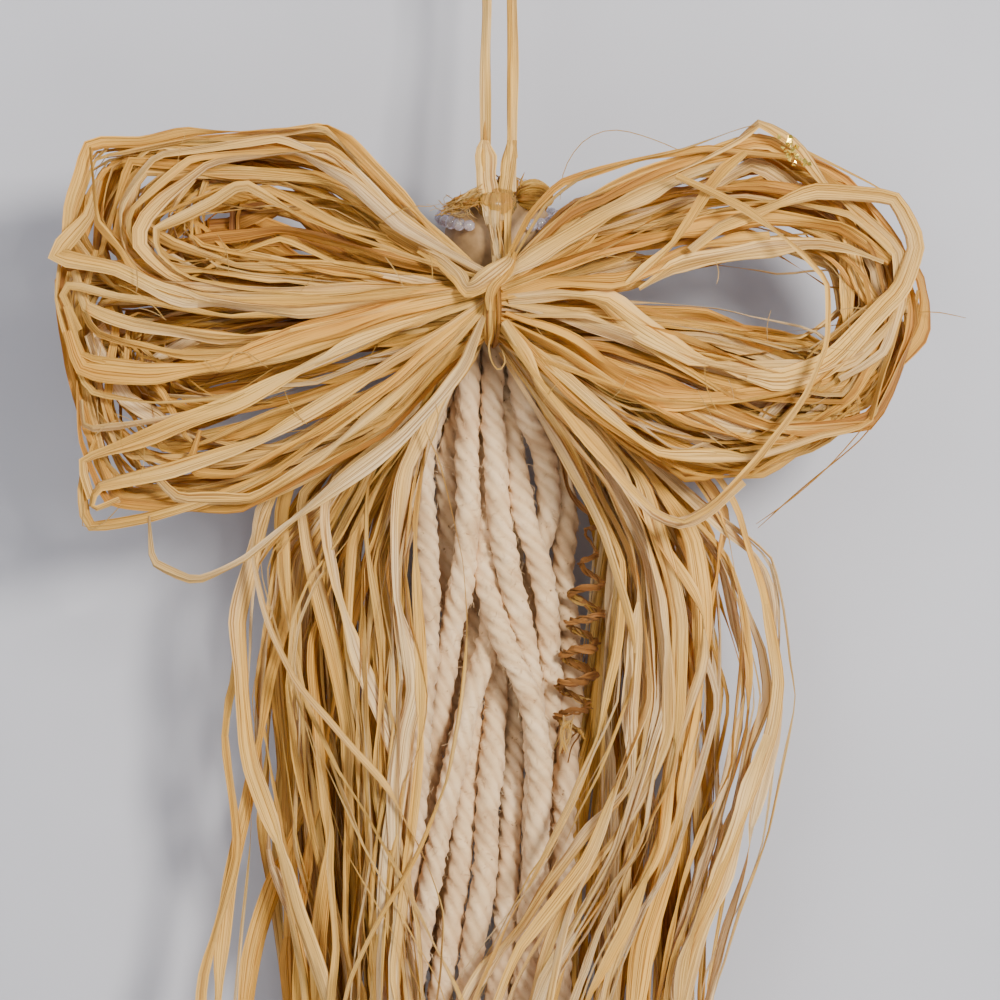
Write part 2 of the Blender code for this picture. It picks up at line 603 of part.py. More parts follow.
def make_curl(material):
    """A short lock coiled on the upper right of the head."""
    centre = Vector((0, HEAD_DEPTH, -HEAD_DROP))
    across = CURL_OUTWARD.cross(Vector((0, 1, 0))).normalized()
    forward = across.cross(CURL_OUTWARD)
    place = centre + CURL_OUTWARD * (HEAD_RADIUS + GAP + CURL_STRAND)
    rings = []
    for i in range(CURL_STEPS):
        share = i / (CURL_STEPS - 1)
        angle = CURL_TURN * share
        radial = across * math.cos(angle) + forward * math.sin(angle)
        spot = place + radial * CURL_RADIUS * (0.95 - 0.12 * share) + CURL_OUTWARD * CURL_RISE * share
        rings.append([spot + (radial * math.cos(t) + CURL_OUTWARD * math.sin(t)) * CURL_STRAND / 2
                      for t in (2 * math.pi * j / 5 for j in range(5))])
    bm = bmesh.new()
    loft(bm, rings)
    return mesh_object("hair_curl", bm, material, smooth=True)


def make_glue(material):
    """The lump that holds the hanger to the head, hollowed where it meets the ball."""
    bm = bmesh.new()
    bmesh.ops.create_uvsphere(bm, u_segments=12, v_segments=7, radius=1.0)
    bmesh.ops.scale(bm, verts=bm.verts, vec=(GLUE_WIDTH / 2, GLUE_DEPTH / 2, GLUE_HEIGHT / 2))
    bmesh.ops.translate(bm, verts=bm.verts, vec=(0, GLUE_Y, -GLUE_DROP))
    glue = mesh_object("hanger_glue", bm, material, smooth=True)
    seat = bmesh.new()
    bmesh.ops.create_uvsphere(seat, u_segments=24, v_segments=14, radius=HEAD_RADIUS + GLUE_SEAT_GAP)
    bmesh.ops.translate(seat, verts=seat.verts, vec=(0, HEAD_DEPTH, -HEAD_DROP))
    cutter = mesh_object("glue_seat", seat, material)
    boolean(glue, cutter, 'DIFFERENCE')
    return glue


def make_hanger(material):
    """One strip that rises from the glue, turns over the hook and comes back down."""
    half = HANGER_SPREAD / 2
    hook = HOOK_SPREAD / 2
    low = -GLUE_DROP + GLUE_HEIGHT / 2 + GAP
    crown = HANGER_THICKNESS / 2
    left = [Vector((-half, GLUE_Y - 0.2 * MM, low)),
            Vector((-half - 0.4 * MM, GLUE_Y * 0.66, low * 0.66)),
            Vector((-half - 0.2 * MM, GLUE_Y * 0.4, low * 0.4)),
            Vector((-hook * 0.92, GLUE_Y * 0.1, -11 * MM))]
    arc = []
    for k in range(5):
        angle = math.pi * (1 - k / 4)
        arc.append(Vector((hook * math.cos(angle), 0, crown - hook + hook * math.sin(angle))))
    right = [Vector((-p.x - (0.3 * MM if i == 2 else 0), p.y, p.z)) for i, p in enumerate(reversed(left))]
    route = spaced_curve(left + arc + right, HANGER_STATIONS)
    bm = bmesh.new()
    ribbon(bm, route, lambda s: HANGER_WIDTH, lambda s: HANGER_THICKNESS,
           lambda s: math.pi / 2 * ease(0.5 - abs(s - 0.5), 0.36, 0.46))
    return mesh_object("hanger_loop", bm, material)


def make_hanger_tail(material):
    top = -GLUE_DROP - GLUE_HEIGHT / 2 - TAIL_CLEARANCE
    low = -KNOT_DROP + KNOT_HEIGHT / 2 + TAIL_CLEARANCE
    route = [Vector((0, TAIL_TOP_Y, top)), Vector((0, TAIL_MIDDLE_Y, -HEAD_DROP)),
             Vector((KNOT_X * 0.4, TAIL_BOTTOM_Y, low))]
    bm = bmesh.new()
    half = TAIL_THICKNESS / 2
    bunch(bm, route, [TAIL_WIDTH / 2, TAIL_WIDTH / 2 * 0.9, TAIL_WIDTH / 2 * 0.55], [half, half, half],
          pleats=6, pleat_share=0.12)
    return mesh_object("hanger_tail", bm, material)


def make_knot(material):
    """The binding around the middle of the bow, with a groove between its turns."""
    middle_y = (KNOT_FRONT_Y + KNOT_BACK_Y) / 2
    half_y = (KNOT_BACK_Y - KNOT_FRONT_Y) / 2
    profile = ((-0.5, 0.90), (-0.36, 1.0), (-0.18, 0.97), (0.0, 0.91), (0.18, 0.97), (0.36, 1.0),
               (0.5, 0.90))
    rings = []
    for across, swell in profile:
        ring = []
        for j in range(16):
            angle = math.pi * j / 8
            ring.append(Vector((KNOT_X + across * KNOT_WIDTH, middle_y + half_y * swell * math.cos(angle),
                                -KNOT_DROP + KNOT_HEIGHT / 2 * swell * math.sin(angle))))
        rings.append(ring)
    bm = bmesh.new()
    loft(bm, rings)
    return mesh_object("knot_tie", bm, material, smooth=True)


def make_neck(material):
    """The bound top of the cotton cords under the head."""
    middle = Vector((NECK_X, NECK_Y, 0))
    rings = []
    for share, size in NECK_PROFILE:
        drop = NECK_TOP_DROP + NECK_HEIGHT * share
        ring = []
        for j in range(20):
            angle = math.pi * j / 10
            swell = size * (1 + 0.035 * (1 if j % 2 else -1))
            ring.append(middle + Vector((NECK_HALF_WIDTH * swell * math.cos(angle),
                                         NECK_HALF_DEPTH * swell * math.sin(angle), -drop)))
        rings.append(ring)
    bm = bmesh.new()
    loft(bm, rings)
    return mesh_object("neck_gather", bm, material)


def make_tendril(material):
    """A dry strand of twisted raffia that keeps its coil, hung from beside the knot."""
    neck = Vector((0, 0, -NECK_BASE_DROP))
    points = [neck + place for place in TENDRIL_STEM]
    coil = []
    steps = TENDRIL_TURNS * TENDRIL_STEPS
    for i in range(steps + 1):
        angle = 2 * math.pi * i / TENDRIL_STEPS
        share = i / steps
        coil.append(Vector((TENDRIL_X + TENDRIL_LEAN * share + TENDRIL_RADIUS * math.cos(angle),
                            TENDRIL_Y + TENDRIL_RADIUS * math.sin(angle),
                            neck.z - TENDRIL_BELOW_NECK - TENDRIL_PITCH * TENDRIL_TURNS * share)))
    route = spaced_curve(points + [coil[0]], 6)[:-1] + coil
    route.append(coil[-1] + TENDRIL_TIP)
    rings = []
    for i, place in enumerate(route):
        along = (route[min(i + 1, len(route) - 1)] - route[max(i - 1, 0)]).normalized()
        side = along.cross(Vector((0.1, 0.2, 1))).normalized()
        up = side.cross(along)
        rings.append([place + (side * math.cos(t) + up * math.sin(t)) * TENDRIL_STRAND / 2
                      for t in (math.pi * j / 2 for j in range(4))])
    bm = bmesh.new()
    loft(bm, rings)
    return mesh_object("curled_tendril", bm, material, smooth=True)


def make_bundle(material):
    """A brown bunch of raffia behind the left skirt, from the neck down through its cuff."""
    neck = Vector((0, 0, -NECK_BASE_DROP))
    cuff = Vector((CUFF_X, CUFF_Y, -CUFF_BELOW_NECK))
    places = [neck + place for place in (*BUNDLE_ABOVE_CUFF, cuff, *BUNDLE_BELOW_CUFF)]
    route = spaced_curve(places, BUNDLE_STATIONS)
    half = BUNDLE_DIAMETER / 2
    halves = [half * (0.8 + 0.12 * math.sin(k)) for k in range(BUNDLE_STATIONS)]
    bm = bmesh.new()
    bunch(bm, route, halves, halves, pleats=5, pleat_share=0.12)
    return mesh_object("bound_bundle", bm, material)


def make_cuff(material):
    """The golden band around the brown bunch: a short pleated tube, flared at its lower end."""
    inner = BUNDLE_DIAMETER / 2 * 1.12 + 2 * GAP
    sides = 12
    profile = ((0.5, inner), (0.5, inner + CUFF_WALL), (0.08, inner + CUFF_WALL * 1.15),
               (0.0, inner + CUFF_WALL * 0.7), (-0.5, inner + CUFF_WALL * 0.8), (-0.5, inner))
    bm = bmesh.new()
    rings = []
    for along, radius in profile:
        ring = []
        for j in range(sides):
            angle = 2 * math.pi * j / sides
            ring.append(bm.verts.new((CUFF_X + radius * math.cos(angle), CUFF_Y + radius * math.sin(angle),
                                      -NECK_BASE_DROP - CUFF_BELOW_NECK + along * CUFF_HEIGHT)))
        rings.append(ring)
    for i, ring in enumerate(rings):
        following = rings[(i + 1) % len(rings)]
        for j in range(sides):
            k = (j + 1) % sides
            bm.faces.new((ring[j], ring[k], following[k], following[j]))
    return mesh_object("bundle_cuff", bm, material)


def make_foil(material):
    """A small sprig of crumpled foil on the upper right wing."""
    middle = Vector((FOIL_X, FOIL_Y, -KNOT_DROP + FOIL_ABOVE_KNOT))
    last = len(FOIL_SWELL) - 1
    route = [middle + FOIL_TILT * FOIL_LENGTH * (k / last - 0.5) for k in range(last + 1)]
    bm = bmesh.new()
    bunch(bm, route, [FOIL_WIDTH / 2 * k for k in FOIL_SWELL], [FOIL_WIDTH / 2.6 * k for k in FOIL_SWELL],
          pleats=4, pleat_share=0.2)
    return mesh_object("foil_sprig", bm, material)


def main():
    clear_scene()
    raffia = make_material("raffia", RAFFIA, 0.55)
    pale = make_material("raffia pale", RAFFIA_PALE, 0.5)
    brown = make_material("raffia brown", RAFFIA_BROWN, 0.5)
    cotton = make_material("cotton", COTTON, 0.9)
    make_head(make_material("ball wood", WOOD, 0.5))
    make_halo(make_material("pearly glass", PEARL, 0.1))
    make_hair(raffia)
    make_curl(brown)
    make_glue(make_material("clear glue", GLUE, 0.2))
    make_hanger(pale)
    make_hanger_tail(pale)
    make_knot(raffia)
    make_neck(cotton)
    make_wing("wing_left", -1, LEFT_FAMILIES, raffia)
    make_wing("wing_right", 1, RIGHT_FAMILIES, raffia)
    make_skirt("skirt_left", -1, LEFT_SKIRT_ACROSS, LEFT_SKIRT_DEPTH, raffia)
    make_skirt("skirt_right", 1, RIGHT_SKIRT_ACROSS, RIGHT_SKIRT_DEPTH, raffia)
    for number, points in enumerate(cord_routes(), start=1):
        make_cord(f"yarn_cord_{number:02d}", points, cotton)
    make_tendril(brown)
    make_bundle(brown)
    make_cuff(make_material("raffia golden", RAFFIA_GOLDEN, 0.5))
    make_foil(make_material("gold foil", GOLD, 0.25, 1.0))


main()
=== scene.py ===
import math
import random

import bmesh
import bpy
from mathutils import Matrix, Vector, noise


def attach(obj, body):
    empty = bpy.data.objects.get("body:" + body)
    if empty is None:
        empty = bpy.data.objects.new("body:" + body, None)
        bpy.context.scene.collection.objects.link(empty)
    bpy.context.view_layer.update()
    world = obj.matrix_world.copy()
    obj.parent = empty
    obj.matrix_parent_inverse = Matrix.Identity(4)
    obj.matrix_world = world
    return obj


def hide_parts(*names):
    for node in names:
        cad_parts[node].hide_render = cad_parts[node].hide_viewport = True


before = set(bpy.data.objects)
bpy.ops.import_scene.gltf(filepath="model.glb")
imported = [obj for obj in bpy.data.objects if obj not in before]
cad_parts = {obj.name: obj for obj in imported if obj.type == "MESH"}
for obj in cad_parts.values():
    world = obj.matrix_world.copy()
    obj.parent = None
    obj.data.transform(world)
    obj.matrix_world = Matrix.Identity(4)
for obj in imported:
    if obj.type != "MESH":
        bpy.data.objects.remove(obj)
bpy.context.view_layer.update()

MM = 0.001
GAP = 0.3 * MM

# View grid: the photographed side in steps of 0.24 mm, seen along +Y, with the knot's place on it
# and its depth in millimetres
STEP = 0.24 * MM
GRID_MIDDLE = 500
KNOT_ACROSS = 492
KNOT_DOWN = 300
KNOT_DEPTH = -20
VIEW_X = 0.24 * MM
VIEW_Z = -160 * MM
PLANE_Y = -12 * MM
VIEW_DISTANCE = 900 * MM
LENS = 135.0

HEAD_DROP = 96.4 * MM
HEAD_RADIUS = 13.3 * MM
HEAD_Y = 1.0 * MM
KNOT = Vector((-1.7, -17.6, -114.0)) * MM
KNOT_WIDTH = 4.6 * MM
KNOT_HALF_DEPTH = 8.4 * MM
KNOT_HALF_HEIGHT = 9.5 * MM
NECK_BASE_DROP = 120.6 * MM
WING_REACH = 105.0 * MM
WING_ROOT_Y = -20.0 * MM
WING_MIDDLE_Y = -21.0 * MM

# Wing outlines, as shares of the wing's reach out from the knot and up from it
LEFT_UPPER_OUTER = [(0.142, 0.155), (0.279, 0.308), (0.386, 0.395), (0.644, 0.378), (0.905, 0.345),
                    (0.965, 0.148), (0.86, 0.045), (0.667, 0.0), (0.37, 0.011), (0.142, 0.015)]
LEFT_UPPER_INNER = [(0.119, 0.095), (0.233, 0.14), (0.36, 0.21), (0.50, 0.265), (0.63, 0.25),
                    (0.70, 0.18), (0.64, 0.13), (0.52, 0.12), (0.34, 0.085), (0.142, 0.05)]
LEFT_LOWER_OUTER = [(0.142, 0.087), (0.37, 0.087), (0.667, 0.073), (0.975, 0.095), (0.965, -0.046),
                    (0.925, -0.274), (0.85, -0.44), (0.575, -0.45), (0.233, -0.285), (0.084, -0.116)]
LEFT_LOWER_INNER = [(0.142, 0.0), (0.37, -0.035), (0.60, -0.065), (0.75, -0.085), (0.79, -0.12),
                    (0.75, -0.165), (0.62, -0.165), (0.45, -0.13), (0.21, -0.075), (0.084, -0.03)]
RIGHT_UPPER_OUTER = [(0.110, 0.161), (0.19, 0.246), (0.406, 0.324), (0.612, 0.392), (0.817, 0.285),
                     (0.93, 0.114), (0.962, -0.046), (0.863, -0.262), (0.635, -0.292), (0.292, -0.16)]
RIGHT_UPPER_INNER = [(0.155, 0.055), (0.247, 0.085), (0.429, 0.115), (0.612, 0.125), (0.76, 0.09),
                     (0.81, 0.023), (0.79, -0.05), (0.703, -0.08), (0.521, -0.045), (0.247, -0.005)]
RIGHT_LOWER_OUTER = [(0.155, 0.01), (0.338, -0.02), (0.521, -0.06), (0.78, -0.12), (0.83, -0.21),
                     (0.74, -0.31), (0.58, -0.37), (0.44, -0.37), (0.30, -0.31), (0.14, -0.17)]
RIGHT_LOWER_INNER = [(0.155, -0.01), (0.338, -0.05), (0.521, -0.10), (0.70, -0.14), (0.74, -0.17),
                     (0.70, -0.21), (0.566, -0.23), (0.429, -0.22), (0.292, -0.16), (0.132, -0.09)]

# Skirt: places across and in depth, in millimetres, at these drops below the knot
SKIRT_DROPS = (29, 60, 94, 130, 166, 238)
LEFT_SKIRT_ACROSS = (
    (-26, -57, -61, -58, -66, -71),
    (-25, -55, -48, -29, -14, -9),
    (-28, -50, -53, -49, -41, -37),
    (-26, -43, -43, -39, -36, -33),
    (-23, -36, -35, -36, -38, -42),
    (-20, -29, -28, -26, -24, -21),
    (-17, -23, -24, -27, -30, -31),
    (-31, -51, -58, -60, -55, -52),
)
LEFT_SKIRT_DEPTH = (
    (-9, -7, -7, -7, -6, -6),
    (-8, -6, -11, -17.5, -17.8, -17.5),
    (-7, -4, -3, -2, -2, -2),
    (-6, -2, 1, 2, 2, 2),
    (-5, 1, 6, 7, 7, 6),
    (-10, -11, -13, -14, -14, -14),
    (-11, -13, -15, -16, -16, -16),
    (-4, 4, 11, 12, 11, 10),
)
RIGHT_SKIRT_ACROSS = (
    (26, 63, 67, 61, 48, 43),
    (25, 52, 57, 49, 38, 34),
    (22, 39, 46, 39, 24, 15),
    (20, 34, 37, 26, 8, 0),
    (17, 29, 31, 15, -7, -16),
    (19, 31, 32, 31, 30, 29),
    (27, 27, 26, 24, 23, 22),
    (24, 46, 53, 53, 48, 51),
)
RIGHT_SKIRT_DEPTH = (
    (-9, -7, -6, -5, -5, -5),
    (-8, -5, -4, -3, -3, -3),
    (-7, -9, -11, -14, -15, -15),
    (-10, -11, -13, -17, -17, -17),
    (-11, -13, -16, -21, -21.5, -21),
    (-6, -2, 1, 3, 3, 3),
    (-2, 4, 9, 10, 10, 9),
    (-4, 0, 4, 6, 6, 5),
)

# Cotton cords: places across and in depth, in millimetres, at the drops below the neck's base
CORD_PITCH = 5.7 * MM
CORD_START = 3.0 * MM
CORD_CRESTS = 6.0 * MM
CORD_TURN = 18.5 * MM
CORD_LINE_STEP = 0.95 * MM
CORD_SIDES = 20
PUSH_ROUNDS = 90
SMOOTH_ROUNDS = 60
NECK_Y = 3.7 * MM
CORD_DROPS = (0, 8, 18, 29, 43, 58, 72, 86, 101, 115, 130, 144, 158, 180, 202, 225)
CORD_LENGTH_STEP = 3.0 * MM
CORD_ACROSS = (
    (-10.2, -11.8, -15.1, -18.5, -18, -17.3, -17, -18.2, -19.7, -20.4, -21.8, -23.8, -26.2, -27.4, -27.6,
     -28.6),
    (-4.3, -6, -9, -12.5, -12.2, -12, -10.5, -9.8, -10.6, -11.8, -12.5, -13, -14.2, -15.1, -16, -16.6),
    (-7.2, -7.2, -7.4, -7.7, -7.4, -8.4, -11.8, -13.9, -16.3, -17.8, -18.7, -19.7, -20.9, -21.8, -22.8,
     -23.3),
    (-1.4, -1.5, -1.7, -0.7, 0.2, 2.2, 6, 8.6, 8.9, 8.4, 7.4, 6.5, 5, 3.8, 3.1, 2.6),
    (4.4, 5, 6.5, 11, 11.8, 8, 7.5, 11.5, 12.7, 13.7, 13.7, 13.2, 12.2, 11.3, 10.6, 9.8),
    (1.5, 2, 2.6, 3.8, 6, 10.6, 11.5, 12.5, 11.6, 11.8, 11.3, 11, 9.8, 9, 8.6, 8.2),
    (-1.4, -3, -4, -4, -3.6, -2.9, 1.4, 7.2, 9.8, 9.4, 8.2, 7, 6.5, 5, 4.3, 3.6),
    (-7.2, -6.5, -5, -4, -3.4, -2.4, -2.2, -6.5, -10.1, -13.2, -16.6, -19, -21.4, -22.8, -23.8, -24.2),
    (4.4, 3, 1.5, 0.5, 0.2, -0.2, -0.7, -0.7, -1.7, -2.9, -3.4, -6, -7.4, -8.9, -9.8, -10.6),
    (-4.3, -4.5, -4.6, -4.6, -5, -5.8, -6.2, -6.7, -7.2, -8.4, -9.8, -11.5, -14.2, -15.6, -16.6, -17),
    (1.5, 2, 2.5, 3.1, 3.1, 3.1, 3.4, 3.6, 3.6, 3.1, 2.2, 1.4, -0.5, -2.2, -3.4, -3.8),
    (7.3, 8.5, 11, 14.6, 16.1, 15.8, 16.9, 17, 16.1, 15.4, 15.3, 15.1, 14.6, 13.7, 13, 12.2),
)
CORD_DEPTH = (
    (0.8, 0.5, -1, -3, -5, -6, -6, -6, -6, -6, -5.5, -5, -5, -5, -5, -5),
    (0.8, 0.8, 1, 1, 1, 3, 8, 9, 7, 6, 6, 6, 6, 6, 6, 6),
    (-5, -5.5, -6.5, -6.5, -6.5, -6, -2, 0, 1, 1, 1, 1, 1, 1, 1, 1),
    (-5, -6, -7, -7, -7, -7, -5.5, -1.5, -1, -1, -1, -1, -1, -1, -1, -1),
    (-5, -5.5, -6.5, -6, -2, 2, 7, 9, 10, 10, 10, 10, 9, 9, 8, 8),
    (0.8, 0.8, 0, -2.5, -8, -10, -5.5, 2.5, 4.5, 5, 5, 5, 5, 5, 5, 5),
    (6.6, 5, 3, 1, -1, -3, -8, -8, -7, -7, -6.5, -6.5, -6.5, -6.5, -6.5, -6.5),
    (6.6, 6.6, 6.6, 6, 4.5, 2.5, -3, -6.5, -6.5, -6.5, -6.5, -6, -6, -6, -6, -6),
    (6.6, 6.6, 7, 7.5, 8.5, 8, 6, 1, -5, -6, -6, -6, -6, -6, -6, -6),
    (12.4, 11.5, 11, 10.5, 10.5, 9, 4, 0.5, -1.5, -3, -4.5, -5, -5.5, -6, -6, -6),
    (12.4, 12, 12, 12, 12, 12, 11, 7, 1, -1, -3, -4, -4, -4, -4, -4),
    (0.8, 1, 2, 3, 3, 3, 4, 4, 4, 4, 4, 4, 4, 4, 4, 4),
)

# Listed wing strips: depth at the start and the end in mm, width in grid steps, tone from
# pale to brown, then the places on the view grid that the strip passes
LEFT_STRIPS = (
    (-22, -24, 13, 0.35, ((482, 274), (430, 226), (380, 172), (348, 140), (323, 123), (300, 128),
     (243, 133), (188, 134), (143, 143), (92, 146), (82, 178), (72, 204), (66, 240), (58, 256))),
    (-24, -26, 13, 0.10, ((484, 277), (400, 222), (345, 165), (280, 134), (206, 147), (158, 156),
     (138, 180), (121, 208), (124, 246), (138, 268), (166, 284), (230, 292), (330, 290), (482, 281))),
    (-23, -27, 12, 0.30, ((484, 276), (395, 205), (330, 150), (250, 150), (192, 156), (170, 172),
     (130, 210), (128, 236), (150, 266), (200, 288), (320, 296), (482, 283))),
    (-27, -25, 14, 0.05, ((485, 273), (400, 228), (350, 182), (300, 152), (262, 157), (210, 167),
     (170, 200), (150, 222), (144, 241), (170, 270), (208, 288), (330, 298), (484, 286))),
    (-28, -26, 10, 0.22, ((484, 278), (400, 252), (300, 214), (244, 184), (212, 202), (180, 218),
     (156, 230), (160, 252), (190, 276), (260, 288), (350, 290), (484, 284))),
    (-25, -31, 17, 0.16, ((98, 180), (88, 215), (62, 246), (57, 257), (114, 268), (160, 290), (206, 304),
     (300, 310), (400, 300), (484, 286))),
    (-25, -30, 9, 0.40, ((90, 147), (94, 190), (96, 222), (119, 248), (141, 276), (176, 292), (240, 302),
     (340, 300), (484, 284))),
    (-24, -29, 8, 0.30, ((80, 330), (62, 292), (72, 286), (114, 296), (151, 300), (230, 316), (330, 312),
     (484, 290))),
    (-20, -22, 12, 0.62, ((166, 256), (188, 243), (243, 236), (281, 231), (350, 246), (484, 280))),
    (-22, -24, 5, 0.45, ((190, 278), (218, 262), (281, 236), (340, 262), (484, 284))),
    (-23, -28, 6, 0.30, ((60, 262), (57, 296), (66, 332), (84, 378), (96, 392), (150, 402), (230, 396),
     (330, 360), (430, 318), (486, 296))),
    (-22, -27, 10, 0.35, ((96, 250), (84, 304), (96, 330), (123, 342), (177, 355), (240, 352), (330, 334),
     (484, 293))),
    (-23, -29, 13, 0.18, ((74, 270), (86, 306), (132, 324), (177, 333), (218, 340), (280, 336), (380, 314),
     (484, 292))),
    (-26, -31, 20, 0.48, ((70, 330), (84, 366), (151, 375), (225, 364), (300, 338), (400, 306),
     (486, 290))),
    (-25, -28, 9, 0.28, ((66, 306), (83, 356), (129, 363), (200, 372), (290, 356), (400, 318), (486, 294))),
    (-26, -32, 14, 0.26, ((92, 498), (84, 460), (160, 432), (240, 401), (300, 370), (400, 330),
     (488, 297))),
    (-24, -30, 10, 0.10, ((80, 400), (86, 430), (170, 420), (250, 392), (340, 350), (488, 296))),
    (-27, -33, 12, 0.08, ((148, 516), (151, 562), (195, 580), (245, 560), (330, 492), (400, 438),
     (440, 396), (466, 362), (490, 300))),
    (-24, -31, 10, 0.35, ((96, 440), (84, 484), (90, 524), (150, 516), (240, 490), (330, 430), (420, 360),
     (490, 300))),
    (-26, -31, 13, 0.15, ((120, 500), (90, 512), (96, 486), (170, 470), (260, 440), (350, 388), (430, 340),
     (490, 298))),
    (-23, -30, 9, 0.42, ((78, 380), (82, 440), (110, 500), (190, 508), (270, 476), (360, 408), (440, 350),
     (490, 300))),
    (-27, -32, 12, 0.20, ((150, 470), (180, 500), (250, 500), (320, 456), (390, 400), (450, 345),
     (490, 300))),
    (-25, -32, 8, 0.50, ((200, 430), (190, 470), (240, 474), (320, 428), (400, 370), (488, 298))),
)
RIGHT_STRIPS = (
    (-23, -25, 13, 0.12, ((500, 286), (573, 230), (640, 188), (691, 163), (743, 134), (759, 123),
     (796, 147), (823, 184), (860, 216), (896, 250), (900, 300), (884, 350), (840, 380))),
    (-22, -23, 7, 0.45, ((506, 262), (530, 215), (558, 184), (579, 176), (640, 158), (705, 147), (740, 150),
     (800, 160), (842, 190), (868, 240))),
    (-24, -22, 5, 0.20, ((512, 260), (545, 206), (590, 172), (680, 150), (757, 126), (796, 146), (884, 190),
     (914, 246), (906, 282), (850, 320), (800, 366), (760, 420))),
    (-27, -24, 17, 0.04, ((640, 290), (673, 268), (704, 260), (760, 250), (817, 245), (850, 250),
     (884, 262))),
    (-30, -25, 18, 0.10, ((690, 250), (720, 226), (758, 211), (814, 193), (860, 196), (893, 202),
     (914, 244), (900, 290), (862, 330), (826, 364), (780, 380), (700, 366), (600, 330), (505, 300))),
    (-32, -33, 9, 0.28, ((676, 176), (712, 192), (749, 211), (793, 246), (828, 281), (829, 342), (806, 394),
     (760, 458), (712, 506), (683, 522), (652, 508), (589, 442), (530, 368), (500, 326))),
    (-31, -28, 12, 0.30, ((746, 152), (724, 170), (705, 193), (676, 240), (650, 268), (626, 287))),
    (-26, -26, 17, 0.10, ((500, 276), (559, 238), (617, 207), (690, 174), (740, 160))),
    (-25, -23, 18, 0.50, ((500, 286), (588, 250), (676, 233), (764, 218), (840, 226), (890, 262))),
    (-28, -26, 16, 0.38, ((500, 296), (550, 281), (617, 283), (650, 270), (700, 246), (770, 236))),
    (-29, -25, 19, 0.06, ((508, 300), (560, 296), (603, 301), (632, 322), (691, 359), (749, 369),
     (823, 368), (862, 350))),
    (-27, -26, 13, 0.30, ((500, 322), (545, 314), (588, 313), (647, 340), (729, 398), (776, 418))),
    (-28, -25, 24, 0.55, ((504, 318), (560, 340), (612, 372), (664, 398), (730, 396), (790, 390))),
    (-31, -24, 4, 0.40, ((500, 330), (538, 359), (647, 398), (723, 404), (811, 386), (881, 316),
     (912, 258))),
    (-29, -24, 12, 0.20, ((500, 326), (545, 360), (603, 410), (658, 450), (700, 452), (752, 454),
     (820, 432), (867, 420), (882, 368), (908, 298))),
    (-24, -20, 6, 0.35, ((500, 320), (600, 378), (688, 428), (776, 434), (867, 418), (905, 360),
     (918, 290))),
    # These four strips at the back of the wing's far end have brown tones that are painted shade.
    (-18, -17, 15, 0.58, ((870, 250), (910, 262), (923, 278), (928, 302), (923, 334), (897, 368),
     (850, 396), (780, 404))),
    (-20, -18, 12, 0.75, ((800, 240), (840, 262), (866, 300), (860, 340), (836, 376), (790, 400),
     (700, 410))),
    (-17, -16, 13, 0.85, ((820, 230), (858, 250), (880, 290), (876, 340), (850, 380), (800, 420),
     (720, 430))),
    (-15, -16, 11, 0.70, ((760, 200), (830, 232), (850, 280), (846, 330), (820, 380), (770, 410))),
    (-27, -23, 9, 0.30, ((502, 290), (580, 262), (690, 212), (780, 200), (850, 216), (897, 262), (892, 330),
     (850, 396), (790, 440), (740, 450))),
    (-26, -25, 10, 0.18, ((500, 300), (620, 318), (700, 345), (790, 372), (850, 362), (892, 318),
     (906, 262))),
    (-16, -14, 9, 0.60, ((505, 290), (600, 240), (700, 200), (770, 180), (820, 200), (870, 240),
     (890, 300))),
    (-22, -28, 11, 0.30, ((820, 440), (760, 442), (690, 424), (620, 386), (560, 350), (500, 320))),
)

# Widths in millimetres and tones of the random strips, and how many the pieces have
WING_WIDTHS = (0.5, 0.8, 1.1, 1.5, 2.1, 2.8, 3.8)
WING_TONES = (0.12, 0.25, 0.36, 0.46, 0.6, 0.75)
SKIRT_WIDTHS = (0.4, 0.6, 0.8, 1.1, 1.5, 2.1, 3.0)
SKIRT_TONES = (0.05, 0.2, 0.35, 0.5)
BROAD_LOOPS = 9
SHADED_LOOPS = 7
ROOT_STRIPS = 18
BACK_STRIPS = 26
TIE_TURNS = 9
PLEATS = 6
TUFT_STRANDS = 230
TUFT_CURLS = 44
TUFT_BACK = 26
BUN_STRANDS = 120
BUN_FRAYS = 40
COIL_FRAYS = 34
BRUSH_FRAYS = 16
BUNDLE_STRIPS = 14
CUFF_TURNS = 9
FOIL_BITS = 34
CORD_FIBRES = 1.7e5
NECK_FIBRES = 4.0e4

# How each kind of strip sways, how close its points are, and how it narrows, kinks and folds
THIN_LOOP = dict(sway=0.8, tips=(0.6, 0.6), pinch=0.4, kink=1.0 * MM, turns=2.6)
BROAD_LOOP = dict(sway=0.6, step=4.6 * MM, tips=(0.6, 0.6), pinch=0.3, kink=1.0 * MM, turns=1.2)
SHADED_LOOP = dict(sway=0.6, step=4.6 * MM, tips=(0.6, 0.6), pinch=0.3, kink=1.2 * MM, turns=1.6)
WING_STRIP = dict(sway=0.5, step=3.0 * MM, tips=(0.6, 0.5), pinch=0.3, kink=0.4 * MM, turns=1.6)
WING_BAND = dict(sway=0.4, step=3.0 * MM, tips=(0.5, 0.4), pinch=0.2, kink=0.4 * MM, turns=1.4)
SKIRT_STRIP = dict(sway=1.0, step=4.2 * MM, tips=(0.6, 0.3), pinch=0.5, kink=1.2 * MM, turns=2.2)
BACK_STRIP = dict(sway=0.9, step=5.5 * MM, tips=(0.5, 0.4), pinch=0.4, kink=0.8 * MM, turns=1.5)
TAIL_STRIP = dict(sway=0.5, step=3.2 * MM, tips=(0.4, 0.5), pinch=0.3, kink=0.35 * MM, turns=1.8)

